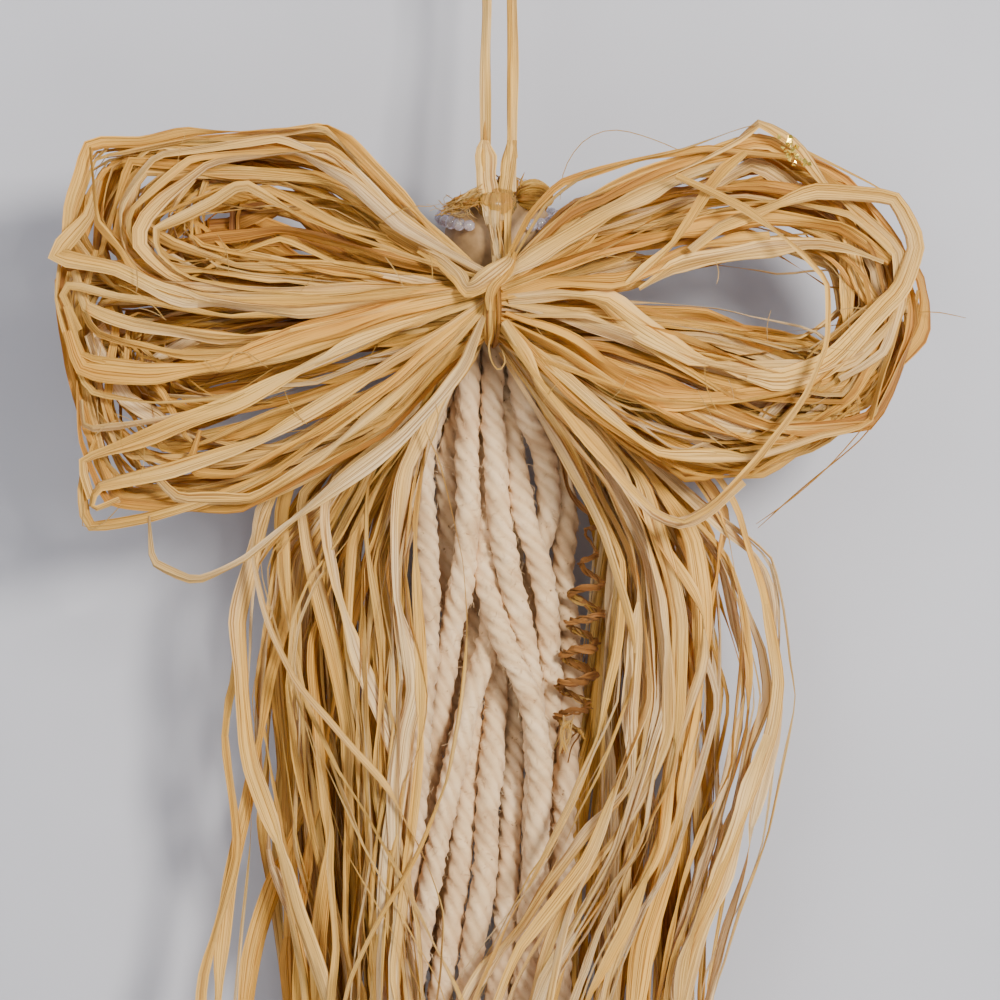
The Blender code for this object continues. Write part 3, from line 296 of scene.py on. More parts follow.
# Leaf colours at each tone
LEAF_COLOURS = (
    (0.0, (1.0, 0.76, 0.40)),
    (0.2, (1.0, 0.68, 0.23)),
    (0.38, (0.99, 0.62, 0.145)),
    (0.6, (0.95, 0.53, 0.09)),
    (0.8, (0.74, 0.36, 0.06)),
    (1.0, (0.38, 0.16, 0.035)),
)

rng = random.Random(41)


# Curves

def cardinal(a, b, c, d, t, tension):
    """A point on the smooth curve from b to c; more tension gives straighter runs and tighter bends."""
    keep = (1 - tension) / 2
    out = (c - a) * keep
    back = (d - b) * keep
    t2 = t * t
    t3 = t2 * t
    return b * (2 * t3 - 3 * t2 + 1) + out * (t3 - 2 * t2 + t) + c * (3 * t2 - 2 * t3) + back * (t3 - t2)


def dense_curve(points, tension=0.0, per_span=12):
    """Close points along the smooth curve, per_span of them from each given point to the next."""
    ends = [2 * points[0] - points[1]] + list(points) + [2 * points[-1] - points[-2]]
    fine = []
    for i in range(1, len(ends) - 2):
        for k in range(per_span):
            fine.append(cardinal(ends[i - 1], ends[i], ends[i + 1], ends[i + 2], k / per_span, tension))
    fine.append(points[-1].copy())
    return fine


def curve_length(points, tension=0.0):
    fine = dense_curve(points, tension)
    return sum((b - a).length for a, b in zip(fine, fine[1:]))


def spaced_curve(points, count, tension=0.0):
    """count points at even steps along the smooth curve through the given points."""
    fine = dense_curve(points, tension)
    travelled = [0.0]
    for a, b in zip(fine, fine[1:]):
        travelled.append(travelled[-1] + (b - a).length)
    total = travelled[-1]
    spaced = []
    i = 0
    for k in range(count):
        goal = total * k / (count - 1)
        while i < len(fine) - 2 and travelled[i + 1] < goal:
            i += 1
        span = travelled[i + 1] - travelled[i]
        share = 0.0 if span == 0 else min(1.0, (goal - travelled[i]) / span)
        spaced.append(fine[i].lerp(fine[i + 1], share))
    return spaced


def ease(value, low, high):
    """0 below low, 1 above high, and a smooth rise between them."""
    t = min(1.0, max(0.0, (value - low) / (high - low)))
    return t * t * (3 - 2 * t)


def spot(across, down, depth):
    """A place seen at a point of the view grid, at a depth in mm."""
    y = depth * MM
    shrink = 1 + (y - PLANE_Y) / VIEW_DISTANCE
    right = (across - GRID_MIDDLE) * STEP * shrink
    below = (down - GRID_MIDDLE) * STEP * shrink
    return Vector((VIEW_X + right, y, VIEW_Z - below))


# Strips of raffia and cords

FRONT = Vector((0, -1, 0))


def kinked(path, amount, step):
    """The path with small straight-sided kinks, as a dry leaf has."""
    last = len(path) - 1
    turns = [(0, 0.0)]
    while turns[-1][0] < last:
        run = max(2, round(rng.uniform(9, 30) * MM / step))
        turns.append((min(last, turns[-1][0] + run), rng.uniform(-amount, amount)))
    turns[-1] = (last, 0.0)
    moved = []
    k = 0
    for i, place in enumerate(path):
        while k < len(turns) - 2 and i > turns[k + 1][0]:
            k += 1
        low, high = turns[k], turns[k + 1]
        shift = low[1] + (high[1] - low[1]) * (i - low[0]) / max(1, high[0] - low[0])
        along = (path[min(i + 1, last)] - path[max(i - 1, 0)]).normalized()
        across = along.cross(FRONT)
        moved.append(place + across * shift + FRONT * shift * 0.3 if across.length > 0.3 else place)
    return moved


def strip(points, width, tone, roll=0.0, sway=0.5, tension=0.35, step=4.0 * MM, tips=(0.3, 0.3), pinch=0.2,
          facing=None, kink=0.0, turns=0.0):
    """One strip: its places, with the way across it, the way it faces and its width at each.

    roll turns the whole strip, and sway turns it to and fro. tips are its ends' widths, as shares of its
    own width, and turns is how many times in 100 mm it narrows and turns over."""
    count = max(5, round(curve_length(points, tension) / step) + 1)
    path = spaced_curve(points, count, tension)
    if kink:
        path = kinked(path, kink, step)
    seed = rng.random() * 100
    last = count - 1
    narrow = []
    if turns:
        total = curve_length(points, tension)
        reach = rng.uniform(0.2, 1.0) * 0.1 / turns
        while reach < total:
            narrow.append((reach, rng.uniform(0.35, 0.72), rng.uniform(0.5, 1.4) * rng.choice((-1, 1)),
                           rng.uniform(3.5, 8.0) * MM))
            reach += rng.uniform(0.4, 1.6) * 0.1 / turns
    rows = []
    travelled = 0.0
    for i, place in enumerate(path):
        share = i / last
        along = (path[min(i + 1, last)] - path[max(i - 1, 0)]).normalized()
        look = facing(i, place) if facing else FRONT
        across = along.cross(look)
        if across.length < 0.15:
            across = along.cross(Vector((0.4, -0.3, 0.86)))
        across.normalize()
        face = across.cross(along).normalized()
        angle = roll + sway * 1.6 * noise.noise(Vector((share * 4.5, seed, 1.7)))
        if i:
            travelled += (place - path[i - 1]).length
        swell = 1 + pinch * 1.5 * noise.noise(Vector((share * 6, seed, 9.1)))
        for middle, depth, twist, length in narrow:
            away = (travelled - middle) / length
            swell *= 1 - depth * math.exp(-away * away)
            angle += twist * (0.5 - 1 / (1 + math.exp(max(-30, min(30, -2.5 * away)))))
        side = across * math.cos(angle) + face * math.sin(angle)
        start = tips[0] + (1 - tips[0]) * ease(share, 0.0, 0.16)
        end = tips[1] + (1 - tips[1]) * ease(1 - share, 0.0, 0.16)
        wide = max(0.12 * MM, width * swell * start * end)
        rows.append((place, side, along.cross(side), wide, travelled))
    return {"rows": rows, "tone": tone, "seed": rng.random()}


def line_mesh(name, strips):
    """The strips' lines as plain edges that carry their sizes and directions."""
    places, edges = [], []
    columns = {"side": [], "face": [], "width": [], "along": [], "strand": [], "tone": []}
    for item in strips:
        first = len(places)
        for place, side, face, width, travelled in item["rows"]:
            places.append(place)
            columns["side"].append(side)
            columns["face"].append(face)
            columns["width"].append(width)
            columns["along"].append(travelled)
            columns["strand"].append(item["seed"])
            columns["tone"].append(item["tone"])
        edges += [(k, k + 1) for k in range(first, len(places) - 1)]
    mesh = bpy.data.meshes.new(name)
    mesh.from_pydata(places, edges, [])
    for key, values in columns.items():
        vector = key in ("side", "face")
        layer = mesh.attributes.new(key, 'FLOAT_VECTOR' if vector else 'FLOAT', 'POINT')
        flat = [x for v in values for x in v] if vector else values
        layer.data.foreach_set("vector" if vector else "value", flat)
    return mesh


def new_tree(name, inputs, output):
    tree = bpy.data.node_groups.new(name, 'GeometryNodeTree')
    for label, kind in inputs:
        tree.interface.new_socket(label, in_out='INPUT', socket_type=kind)
    tree.interface.new_socket(output, in_out='OUTPUT', socket_type='NodeSocketGeometry')
    return tree


def make_node(tree, kind, values=None, **settings):
    """A new node with its settings; each value is a plain value or another node's output."""
    node = tree.nodes.new(kind)
    for key, value in settings.items():
        setattr(node, key, value)
    for key, value in (values or {}).items():
        if isinstance(value, bpy.types.NodeSocket):
            tree.links.new(value, node.inputs[key])
        else:
            node.inputs[key].default_value = value
    return node


def read(tree, name, kind='FLOAT'):
    node = make_node(tree, 'GeometryNodeInputNamedAttribute', {"Name": name}, data_type=kind)
    return node.outputs["Attribute"]


def maths(tree, operation, a, b=0.0):
    return make_node(tree, 'ShaderNodeMath', {0: a, 1: b}, operation=operation).outputs[0]


def product(tree, a, b):
    return maths(tree, 'MULTIPLY', a, b)


def added(tree, a, b):
    return maths(tree, 'ADD', a, b)


def centred(tree, value, factor, middle=0.5):
    """How far a value is from its middle, times a factor."""
    return product(tree, maths(tree, 'SUBTRACT', value, middle), factor)


def times(tree, vector, factor):
    return make_node(tree, 'ShaderNodeVectorMath', {0: vector, "Scale": factor}, operation='SCALE').outputs[0]


def three(tree, x, y, z):
    return make_node(tree, 'ShaderNodeCombineXYZ', {0: x, 1: y, 2: z}).outputs[0]


def texture(tree, vector, scale, detail=2.0, roughness=0.5):
    return make_node(tree, 'ShaderNodeTexNoise', {
        "Vector": vector, "Scale": scale, "Detail": detail, "Roughness": roughness},
        noise_dimensions='3D').outputs[0]


def random_value(tree, low, high, seed):
    node = make_node(tree, 'FunctionNodeRandomValue', {2: low, 3: high, "Seed": seed}, data_type='FLOAT')
    return node.outputs[1]


def circle(tree, sides, radius):
    return make_node(tree, 'GeometryNodeCurvePrimitiveCircle', {"Resolution": sides, "Radius": radius},
                     mode='RADIUS').outputs[0]


def position(tree):
    return make_node(tree, 'GeometryNodeInputPosition').outputs[0]


def keep(tree, geometry, name, value, kind='FLOAT', domain='POINT'):
    """The geometry with a named value stored on it."""
    node = make_node(tree, 'GeometryNodeStoreNamedAttribute',
                     {"Geometry": geometry, "Name": name, "Value": value}, data_type=kind, domain=domain)
    return node.outputs["Geometry"]


def placed(tree, geometry, where):
    return make_node(tree, 'GeometryNodeSetPosition', {"Geometry": geometry, "Position": where}).outputs[0]


def shifted(tree, geometry, offset):
    return make_node(tree, 'GeometryNodeSetPosition', {"Geometry": geometry, "Offset": offset}).outputs[0]


def swept(tree, lines, profile):
    """The profile swept along the lines, turned to their sides and sized by their widths."""
    curve = make_node(tree, 'GeometryNodeMeshToCurve', {"Mesh": lines})
    turned = make_node(tree, 'GeometryNodeSetCurveNormal', {"Curve": curve.outputs[0]}, mode='FREE')
    tree.links.new(read(tree, "side", 'FLOAT_VECTOR'), turned.inputs["Normal"])
    return make_node(tree, 'GeometryNodeCurveToMesh', {
        "Curve": turned.outputs[0], "Profile Curve": profile, "Scale": read(tree, "width"),
        "Fill Caps": True}).outputs[0]


def finish_tree(tree, geometry, group, output):
    """The tree's end: smooth faces, real instances and the material that its input gives."""
    smooth = make_node(tree, 'GeometryNodeSetShadeSmooth', {"Geometry": geometry})
    real = make_node(tree, 'GeometryNodeRealizeInstances', {"Geometry": smooth.outputs[0]})
    dressed = make_node(tree, 'GeometryNodeSetMaterial',
                        {"Geometry": real.outputs[0], "Material": group.outputs["Material"]})
    out = make_node(tree, 'NodeGroupOutput')
    tree.links.new(dressed.outputs[0], out.inputs[output])
    return tree


def ribbon_tree():
    """Lines to flat creased ribbons whose size and turn come from the lines' own values."""
    tree = new_tree("raffia_ribbons", (
        ("Lines", 'NodeSocketGeometry'), ("Sides", 'NodeSocketInt'), ("Flatness", 'NodeSocketFloat'),
        ("Crease", 'NodeSocketFloat'), ("Fold", 'NodeSocketFloat'), ("Material", 'NodeSocketMaterial')),
        "Ribbons")
    group = make_node(tree, 'NodeGroupInput')
    ring = make_node(tree, 'ShaderNodeSeparateXYZ', {0: position(tree)})
    thin = product(tree, ring.outputs[1], group.outputs["Flatness"])
    flat = placed(tree, circle(tree, group.outputs["Sides"], 0.5), three(tree, ring.outputs[0], thin, 0.0))
    ribbon = swept(tree, group.outputs["Lines"], keep(tree, flat, "across", ring.outputs[0]))
    across, along, strand = read(tree, "across"), read(tree, "along"), read(tree, "strand")
    wave = texture(tree, three(tree, product(tree, across, 4.4), product(tree, along, 30.0),
                               product(tree, strand, 311.0)), 1.0, 1.5)
    slope = texture(tree, three(tree, product(tree, along, 28.0), product(tree, strand, 173.0), 0.0),
                    1.0, 1.0)
    ripple = centred(tree, wave, group.outputs["Crease"])
    line = centred(tree, maths(tree, 'FLOOR', product(tree, strand, 3.0)), 0.25, middle=1.0)
    beside = maths(tree, 'ABSOLUTE', maths(tree, 'SUBTRACT', across, line))
    fold = product(tree, beside, centred(tree, slope, group.outputs["Fold"], middle=0.42))
    lift = product(tree, added(tree, ripple, fold), read(tree, "width"))
    creased = shifted(tree, ribbon, times(tree, read(tree, "face", 'FLOAT_VECTOR'), lift))
    return finish_tree(tree, creased, group, "Ribbons")


def lobed_ring(tree, plies, groove):
    """A round profile with a lobe for each ply; its value "ply" is 1 on the crests and 0 in the grooves."""
    place = position(tree)
    split = make_node(tree, 'ShaderNodeSeparateXYZ', {0: place})
    angle = maths(tree, 'ARCTAN2', split.outputs[1], split.outputs[0])
    wave = maths(tree, 'COSINE', product(tree, angle, plies))
    lobes = maths(tree, 'POWER', added(tree, 0.5, product(tree, wave, 0.5)), 0.6)
    size = added(tree, maths(tree, 'SUBTRACT', 1.0, groove), product(tree, lobes, groove))
    ring = placed(tree, circle(tree, CORD_SIDES, 0.5), times(tree, place, size))
    return keep(tree, ring, "ply", lobes)


def loose_fibres(tree, surface, density, seed):
    """Short bent fibres that stand out from a surface at random places."""
    points = make_node(tree, 'GeometryNodeDistributePointsOnFaces', {
        "Mesh": surface, "Density": density, "Seed": seed})
    bend = make_node(tree, 'GeometryNodeCurveQuadraticBezier', {
        "Resolution": 3, "Start": (0, 0, -0.1 * MM), "Middle": (0.7 * MM, 0.15 * MM, 0.5 * MM),
        "End": (1.7 * MM, -0.3 * MM, 0.5 * MM)})
    fibre = make_node(tree, 'GeometryNodeCurveToMesh', {
        "Curve": bend.outputs[0], "Profile Curve": circle(tree, 3, 0.05 * MM), "Fill Caps": True})
    spin = make_node(tree, 'FunctionNodeEulerToRotation',
                     {0: three(tree, 0.0, 0.0, random_value(tree, 0.0, 6.283, seed))})
    turn = make_node(tree, 'FunctionNodeRotateRotation', {
        "Rotation": points.outputs["Rotation"], "Rotate By": spin.outputs[0]}, rotation_space='LOCAL')
    fibres = make_node(tree, 'GeometryNodeInstanceOnPoints', {
        "Points": points.outputs["Points"], "Instance": fibre.outputs[0], "Rotation": turn.outputs[0],
        "Scale": random_value(tree, 0.5, 1.25, 7)})
    return fibres.outputs[0]


def cord_tree():
    """Lines to plied cords: a lobed ring turned along the line, with soft unevenness and loose fibres."""
    tree = new_tree("plied_cords", (
        ("Lines", 'NodeSocketGeometry'), ("Plies", 'NodeSocketInt'), ("Groove", 'NodeSocketFloat'),
        ("Fibres", 'NodeSocketFloat'), ("Seed", 'NodeSocketInt'), ("Material", 'NodeSocketMaterial')),
        "Cords")
    group = make_node(tree, 'NodeGroupInput')
    ring = lobed_ring(tree, group.outputs["Plies"], group.outputs["Groove"])
    cord = swept(tree, group.outputs["Lines"], ring)
    wave = texture(tree, position(tree), 520.0, 2.0)
    normal = make_node(tree, 'GeometryNodeInputNormal').outputs[0]
    lift = centred(tree, wave, product(tree, read(tree, "width"), 0.32))
    uneven = shifted(tree, cord, times(tree, normal, lift))
    fibres = loose_fibres(tree, uneven, group.outputs["Fibres"], group.outputs["Seed"])
    both = make_node(tree, 'GeometryNodeJoinGeometry')
    tree.links.new(keep(tree, fibres, "ply", 1.0, domain='INSTANCE'), both.inputs[0])
    tree.links.new(uneven, both.inputs[0])
    return finish_tree(tree, both.outputs[0], group, "Cords")


def set_input(step, name, value):
    for item in step.node_group.interface.items_tree:
        if item.item_type == 'SOCKET' and item.in_out == 'INPUT' and item.name == name:
            step[item.identifier] = value


def link(item):
    bpy.context.scene.collection.objects.link(item)
    return item


def grow(name, mesh, tree, sharp=0, **inputs):
    """The plain mesh that a node tree makes from a line mesh."""
    holder = link(bpy.data.objects.new(name + "_lines", mesh))
    step = holder.modifiers.new("grow", 'NODES')
    step.node_group = tree
    for key, value in inputs.items():
        set_input(step, key, value)
    graph = bpy.context.evaluated_depsgraph_get()
    made = bpy.data.meshes.new_from_object(holder.evaluated_get(graph), preserve_all_data_layers=True,
                                           depsgraph=graph)
    holder.modifiers.remove(step)
    bpy.data.objects.remove(holder, do_unlink=True)
    bpy.data.meshes.remove(mesh)
    made.name = name
    if sharp:
        made.set_sharp_from_angle(angle=math.radians(sharp))
    return link(bpy.data.objects.new(name, made))


def ribbons(name, strips, material, sides=12, flatness=0.05, crease=0.35, fold=3.2):
    return grow(name, line_mesh(name + "_lines", strips), RIBBONS, sharp=24, Sides=sides, Flatness=flatness,
                Crease=crease, Fold=fold, Material=material)


def join(name, first, *others):
    """One object from several, with every mesh's own values kept."""
    for item in bpy.context.selected_objects:
        item.select_set(False)
    for item in (first, *others):
        item.select_set(True)
    bpy.context.view_layer.objects.active = first
    bpy.ops.object.join()
    first.name = name
    first.data.name = name
    return first


def declare(item, nodes):
    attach(item, "root")
    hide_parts(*nodes)


# Materials

def shader_group(name, inputs, outputs):
    tree = bpy.data.node_groups.new(name, 'ShaderNodeTree')
    for label, kind in inputs:
        tree.interface.new_socket(label, in_out='INPUT', socket_type=kind)
    for label, kind in outputs:
        tree.interface.new_socket(label, in_out='OUTPUT', socket_type=kind)
    return tree, make_node(tree, 'NodeGroupInput'), make_node(tree, 'NodeGroupOutput')


def ramp(tree, factor, *stops):
    """Colours, or plain greys, that change with a factor."""
    node = make_node(tree, 'ShaderNodeValToRGB', {"Fac": factor})
    while len(node.color_ramp.elements) < len(stops):
        node.color_ramp.elements.new(0.5)
    for element, (place, colour) in zip(node.color_ramp.elements, stops):
        element.position = place
        element.color = (*colour, 1.0) if isinstance(colour, tuple) else (colour, colour, colour, 1.0)
    return node.outputs[0]


def multiply(tree, a, b):
    node = make_node(tree, 'ShaderNodeMix', {6: a, 7: b, 0: 1.0}, data_type='RGBA', blend_type='MULTIPLY')
    return node.outputs[2]


def raffia_group():
    """Colour, roughness and relief of a dry leaf strip from its own across, along, strand and tone values."""
    tree, group, out = shader_group(
        "raffia_surface",
        (("Across", 'NodeSocketFloat'), ("Along", 'NodeSocketFloat'), ("Strand", 'NodeSocketFloat'),
         ("Tone", 'NodeSocketFloat')),
        (("Color", 'NodeSocketColor'), ("Roughness", 'NodeSocketFloat'), ("Height", 'NodeSocketFloat')))
    across, along, strand, tone = [group.outputs[k] for k in ("Across", "Along", "Strand", "Tone")]

    def coordinates(wide, long, shift):
        return three(tree, product(tree, across, wide), product(tree, along, long),
                     product(tree, strand, shift))

    streak = texture(tree, coordinates(5.0, 15.0, 173.0), 1.0, 3.0, 0.6)
    fine = texture(tree, coordinates(30.0, 60.0, 91.0), 1.0, 2.0, 0.6)
    patch = texture(tree, coordinates(0.8, 24.0, 57.0), 1.0, 1.0)
    mixed = added(tree, added(tree, tone, centred(tree, patch, 0.9)), centred(tree, streak, 0.35))
    base = ramp(tree, mixed, *LEAF_COLOURS)
    lines = ramp(tree, streak, (0.30, (0.66, 0.56, 0.44)), (0.43, (0.94, 0.92, 0.90)), (0.6, (1.0, 1.0, 1.0)))
    scratch = ramp(tree, fine, (0.3, 0.72), (0.5, 0.98), (0.8, 1.0))
    # Painted shade along the fold lines: the colour darkens there, and the relief dips there too.
    fold = texture(tree, coordinates(7.0, 7.0, 211.0), 1.0, 1.0)
    near = product(tree, maths(tree, 'ABSOLUTE', maths(tree, 'SUBTRACT', fold, 0.5)), 21.0)
    folds = ramp(tree, near, (0.0, (0.40, 0.26, 0.15)), (0.55, (0.90, 0.85, 0.78)), (1.0, (1.0, 1.0, 1.0)))
    colour = multiply(tree, multiply(tree, multiply(tree, base, lines), scratch), folds)
    tree.links.new(colour, out.inputs["Color"])
    height = added(tree, product(tree, streak, 0.7), product(tree, fine, 0.3))
    height = added(tree, height, product(tree, maths(tree, 'MINIMUM', near, 1.0), 0.25))
    tree.links.new(height, out.inputs["Height"])
    tree.links.new(added(tree, 0.42, product(tree, fine, 0.25)), out.inputs["Roughness"])
    return tree


def plain_material(name, **values):
    """A plain surface; each value is named as the shader's input."""
    material = bpy.data.materials.new(name)
    material.use_nodes = True
    shader = material.node_tree.nodes["Principled BSDF"]
    for key, value in values.items():
        shader.inputs[key.replace("_", " ")].default_value = value
    return material


def leaf_material(name, group_tree, shift, seen_through):
    """Dry leaf: the shared surface, with some of the light coming through from behind."""
    material = plain_material(name)
    tree = material.node_tree
    shader = tree.nodes["Principled BSDF"]
    shader.inputs["Specular IOR Level"].default_value = 0.35
    group = make_node(tree, 'ShaderNodeGroup', node_tree=group_tree)
    for label in ("Across", "Along", "Strand"):
        source = make_node(tree, 'ShaderNodeAttribute', attribute_name=label.lower())
        tree.links.new(source.outputs["Fac"], group.inputs[label])
    source = make_node(tree, 'ShaderNodeAttribute', attribute_name="tone")
    tree.links.new(added(tree, source.outputs["Fac"], shift), group.inputs["Tone"])
    tree.links.new(group.outputs["Color"], shader.inputs["Base Color"])
    tree.links.new(group.outputs["Roughness"], shader.inputs["Roughness"])
    bump = make_node(tree, 'ShaderNodeBump', {"Strength": 0.8, "Distance": 0.8 * MM,
                                              "Height": group.outputs["Height"]})
    tree.links.new(bump.outputs[0], shader.inputs["Normal"])
    through = make_node(tree, 'ShaderNodeBsdfTranslucent', {"Color": (0.95, 0.56, 0.18, 1.0)})
    blend = make_node(tree, 'ShaderNodeMixShader',
                      {0: seen_through, 1: shader.outputs[0], 2: through.outputs[0]})
    tree.links.new(blend.outputs[0], tree.nodes["Material Output"].inputs["Surface"])
    return material


def cotton_group():
    """Colour and relief of soft cotton: pale warm plies with painted shade in the grooves, flecks and fine
    yarn lines.
    """
    tree, group, out = shader_group(
        "cotton_surface", (("Place", 'NodeSocketVector'), ("Ply", 'NodeSocketFloat')),
        (("Color", 'NodeSocketColor'), ("Height", 'NodeSocketFloat')))
    place, ply = group.outputs["Place"], group.outputs["Ply"]
    fleck = texture(tree, place, 430.0, 3.0, 0.7)
    cloud = texture(tree, place, 95.0, 2.0)
    yarn = texture(tree, place, 1500.0, 2.0, 0.7)
    base = ramp(tree, cloud, (0.3, (0.53, 0.34, 0.175)), (0.5, (0.71, 0.495, 0.272)),
                (0.7, (0.80, 0.59, 0.355)))
    # Painted shade: the colour darkens towards the grooves between the plies, where "ply" falls to 0.
    groove = ramp(tree, ply, (0.0, (0.74, 0.67, 0.60)), (0.35, (0.92, 0.89, 0.86)), (0.7, (1.0, 1.0, 1.0)))
    dirt = ramp(tree, fleck, (0.26, (0.30, 0.24, 0.19)), (0.33, (0.90, 0.87, 0.84)), (0.45, (1.0, 1.0, 1.0)))
    tree.links.new(multiply(tree, multiply(tree, base, groove), dirt), out.inputs["Color"])
    tree.links.new(added(tree, product(tree, yarn, 0.6), product(tree, fleck, 0.6)), out.inputs["Height"])
    return tree


def cotton_material():
    material = plain_material("cotton", Roughness=0.95)
    tree = material.node_tree
    shader = tree.nodes["Principled BSDF"]
    shader.inputs["Sheen Weight"].default_value = 0.2
    shader.inputs["Sheen Tint"].default_value = (1.0, 0.90, 0.76, 1.0)
    shader.inputs["Sheen Roughness"].default_value = 0.6
    shader.inputs["Specular IOR Level"].default_value = 0.2
    surface = make_node(tree, 'ShaderNodeGroup', node_tree=cotton_group())
    tree.links.new(make_node(tree, 'ShaderNodeTexCoord').outputs["Object"], surface.inputs["Place"])
    ply = make_node(tree, 'ShaderNodeAttribute', attribute_name="ply")
    tree.links.new(ply.outputs["Fac"], surface.inputs["Ply"])
    tree.links.new(surface.outputs["Color"], shader.inputs["Base Color"])
    bump = make_node(tree, 'ShaderNodeBump', {"Strength": 0.6, "Distance": 0.3 * MM,
                                              "Height": surface.outputs["Height"]})
    tree.links.new(bump.outputs[0], shader.inputs["Normal"])
    return material


def grained_material(name, dark, light, scale, roughness, strength):
    """A surface with soft blotches, for the ball and the wall."""
    material = plain_material(name, Roughness=roughness)
    tree = material.node_tree
    shader = tree.nodes["Principled BSDF"]
    place = make_node(tree, 'ShaderNodeTexCoord').outputs["Object"]
    cloud = texture(tree, place, scale, 3.0)
    tree.links.new(ramp(tree, cloud, (0.3, dark), (0.7, light)), shader.inputs["Base Color"])
    bump = make_node(tree, 'ShaderNodeBump', {"Strength": strength, "Distance": 0.3 * MM,
                                              "Height": texture(tree, place, scale * 4, 2.0)})
    tree.links.new(bump.outputs[0], shader.inputs["Normal"])
    return material


# Cords

def push_apart(a, b, need):
    """Two cords' places at one height moved apart, mostly in depth, where they are closer than they need."""
    dx = b[0] - a[0]
    dy = b[1] - a[1]
    apart = math.hypot(dx, dy)
    if apart < need:
        push = (need - apart) / 2
        a[0] -= 0.25 * push * dx / apart
        b[0] += 0.25 * push * dx / apart
        sign = 1 if dy >= 0 else -1
        a[1] -= push * sign
        b[1] += push * sign


def cord_routes():
    """Routes of the cotton cords, with cords that press on each other moved apart at each height."""
    rows = [[[x, y] for x, y in zip(xs, ys)] for xs, ys in zip(CORD_ACROSS, CORD_DEPTH)]
    pitch = CORD_PITCH / MM

    def lean(row, level):
        return abs(row[level][0] - row[level - 1][0])

    for turn in range(PUSH_ROUNDS):
        for level in range(1, len(CORD_DROPS)):
            for i, first in enumerate(rows):
                for second in rows[i + 1:]:
                    need = pitch * (1 + 0.035 * max(lean(first, level), lean(second, level)))
                    push_apart(first[level], second[level], need)
        for row in rows if turn < SMOOTH_ROUNDS else ():
            for level in range(2, len(CORD_DROPS) - 1):
                row[level][1] += 0.03 * ((row[level - 1][1] + row[level + 1][1]) / 2 - row[level][1])
    routes = []
    for k, row in enumerate(rows):
        drops = [drop * MM for drop in CORD_DROPS]
        drops[-1] -= (k * 7 % 4) * CORD_LENGTH_STEP
        routes.append([Vector((x * MM, y * MM, -NECK_BASE_DROP - GAP - drop))
                       for (x, y), drop in zip(row, drops)])
    return routes


def plied_line(points, thickness, pitch, step, start_turn=0.0):
    """A cord's line with directions that turn along it as its plies do."""
    length = curve_length(points)
    path = spaced_curve(points, round(length / step) + 1)
    rows = []
    travelled = 0.0
    last = len(path) - 1
    for i, place in enumerate(path):
        along = (path[min(i + 1, last)] - path[max(i - 1, 0)]).normalized()
        if i:
            travelled += (place - path[i - 1]).length
        across = along.cross(FRONT).normalized()
        face = across.cross(along)
        angle = start_turn + 2 * math.pi * travelled / pitch
        uneven = 1 + 0.17 * noise.noise(Vector((travelled * 90, start_turn, 3.0)))
        angle += 1.2 * noise.noise(Vector((travelled * 45, start_turn, 8.0)))
        side = across * math.cos(angle) + face * math.sin(angle)
        rows.append((place, side, face, thickness * uneven, travelled))
    return {"rows": rows, "tone": 0.3, "seed": start_turn}, path, length


def make_cords():
    for number, points in enumerate(cord_routes(), start=1):
        name = f"yarn_cord_{number:02d}"
        below = points[0] - Vector((0, 0, CORD_START))
        line, path, length = plied_line([points[0], below] + points[1:], CORD_CRESTS, CORD_TURN,
                                        CORD_LINE_STEP, number * 1.3)
        item = grow(name + "_plied", line_mesh(name, [line]), CORDS, Plies=4, Groove=0.18,
                    Fibres=CORD_FIBRES, Seed=number, Material=COTTON)
        declare(item, (name,))


def make_neck():
    """The bound top of the cords: short pieces that close up under the head, and the turns that bind them."""
    lines = []
    for number, points in enumerate(cord_routes()):
        base = points[0]
        top = Vector((base.x * 0.62 - 0.5 * MM, NECK_Y + (base.y - NECK_Y) * 0.62, -110.6 * MM))
        middle = Vector((base.x * 0.84, NECK_Y + (base.y - NECK_Y) * 0.82, -115.5 * MM))
        end = base - Vector((0, 0, 0.6 * MM))
        line, _, _ = plied_line([top, middle, end], 5.0 * MM, 15.0 * MM, 0.85 * MM, number * 1.3 + 1.3)
        lines.append(line)
    for turn in range(3):
        ring = []
        for k in range(17):
            angle = math.pi * k / 8 + turn
            drop = -114.0 - 1.2 * turn - 0.06 * k
            ring.append(Vector((-1.4 * MM + 9.6 * MM * math.cos(angle), NECK_Y + 9.2 * MM * math.sin(angle),
                                drop * MM)))
        line, _, _ = plied_line(ring, 1.3 * MM, 4.0 * MM, 0.6 * MM, turn)
        lines.append(line)
    item = grow("neck_gather_bound", line_mesh("neck", lines), CORDS, Plies=4, Groove=0.2,
                Fibres=NECK_FIBRES, Seed=31, Material=COTTON)
    declare(item, ("neck_gather",))


# Wings

def wing_depth(distance, layer):
    """Depth at a distance from the knot, for a layer from -1 at the photographed side to 1 at the back."""
    spread = ease(distance, 10 * MM, 60 * MM)
    middle = WING_ROOT_Y + (WING_MIDDLE_Y - WING_ROOT_Y) * spread
    half = 4.0 * MM + (9.5 * MM - 4.0 * MM) * spread
    return middle + half * layer


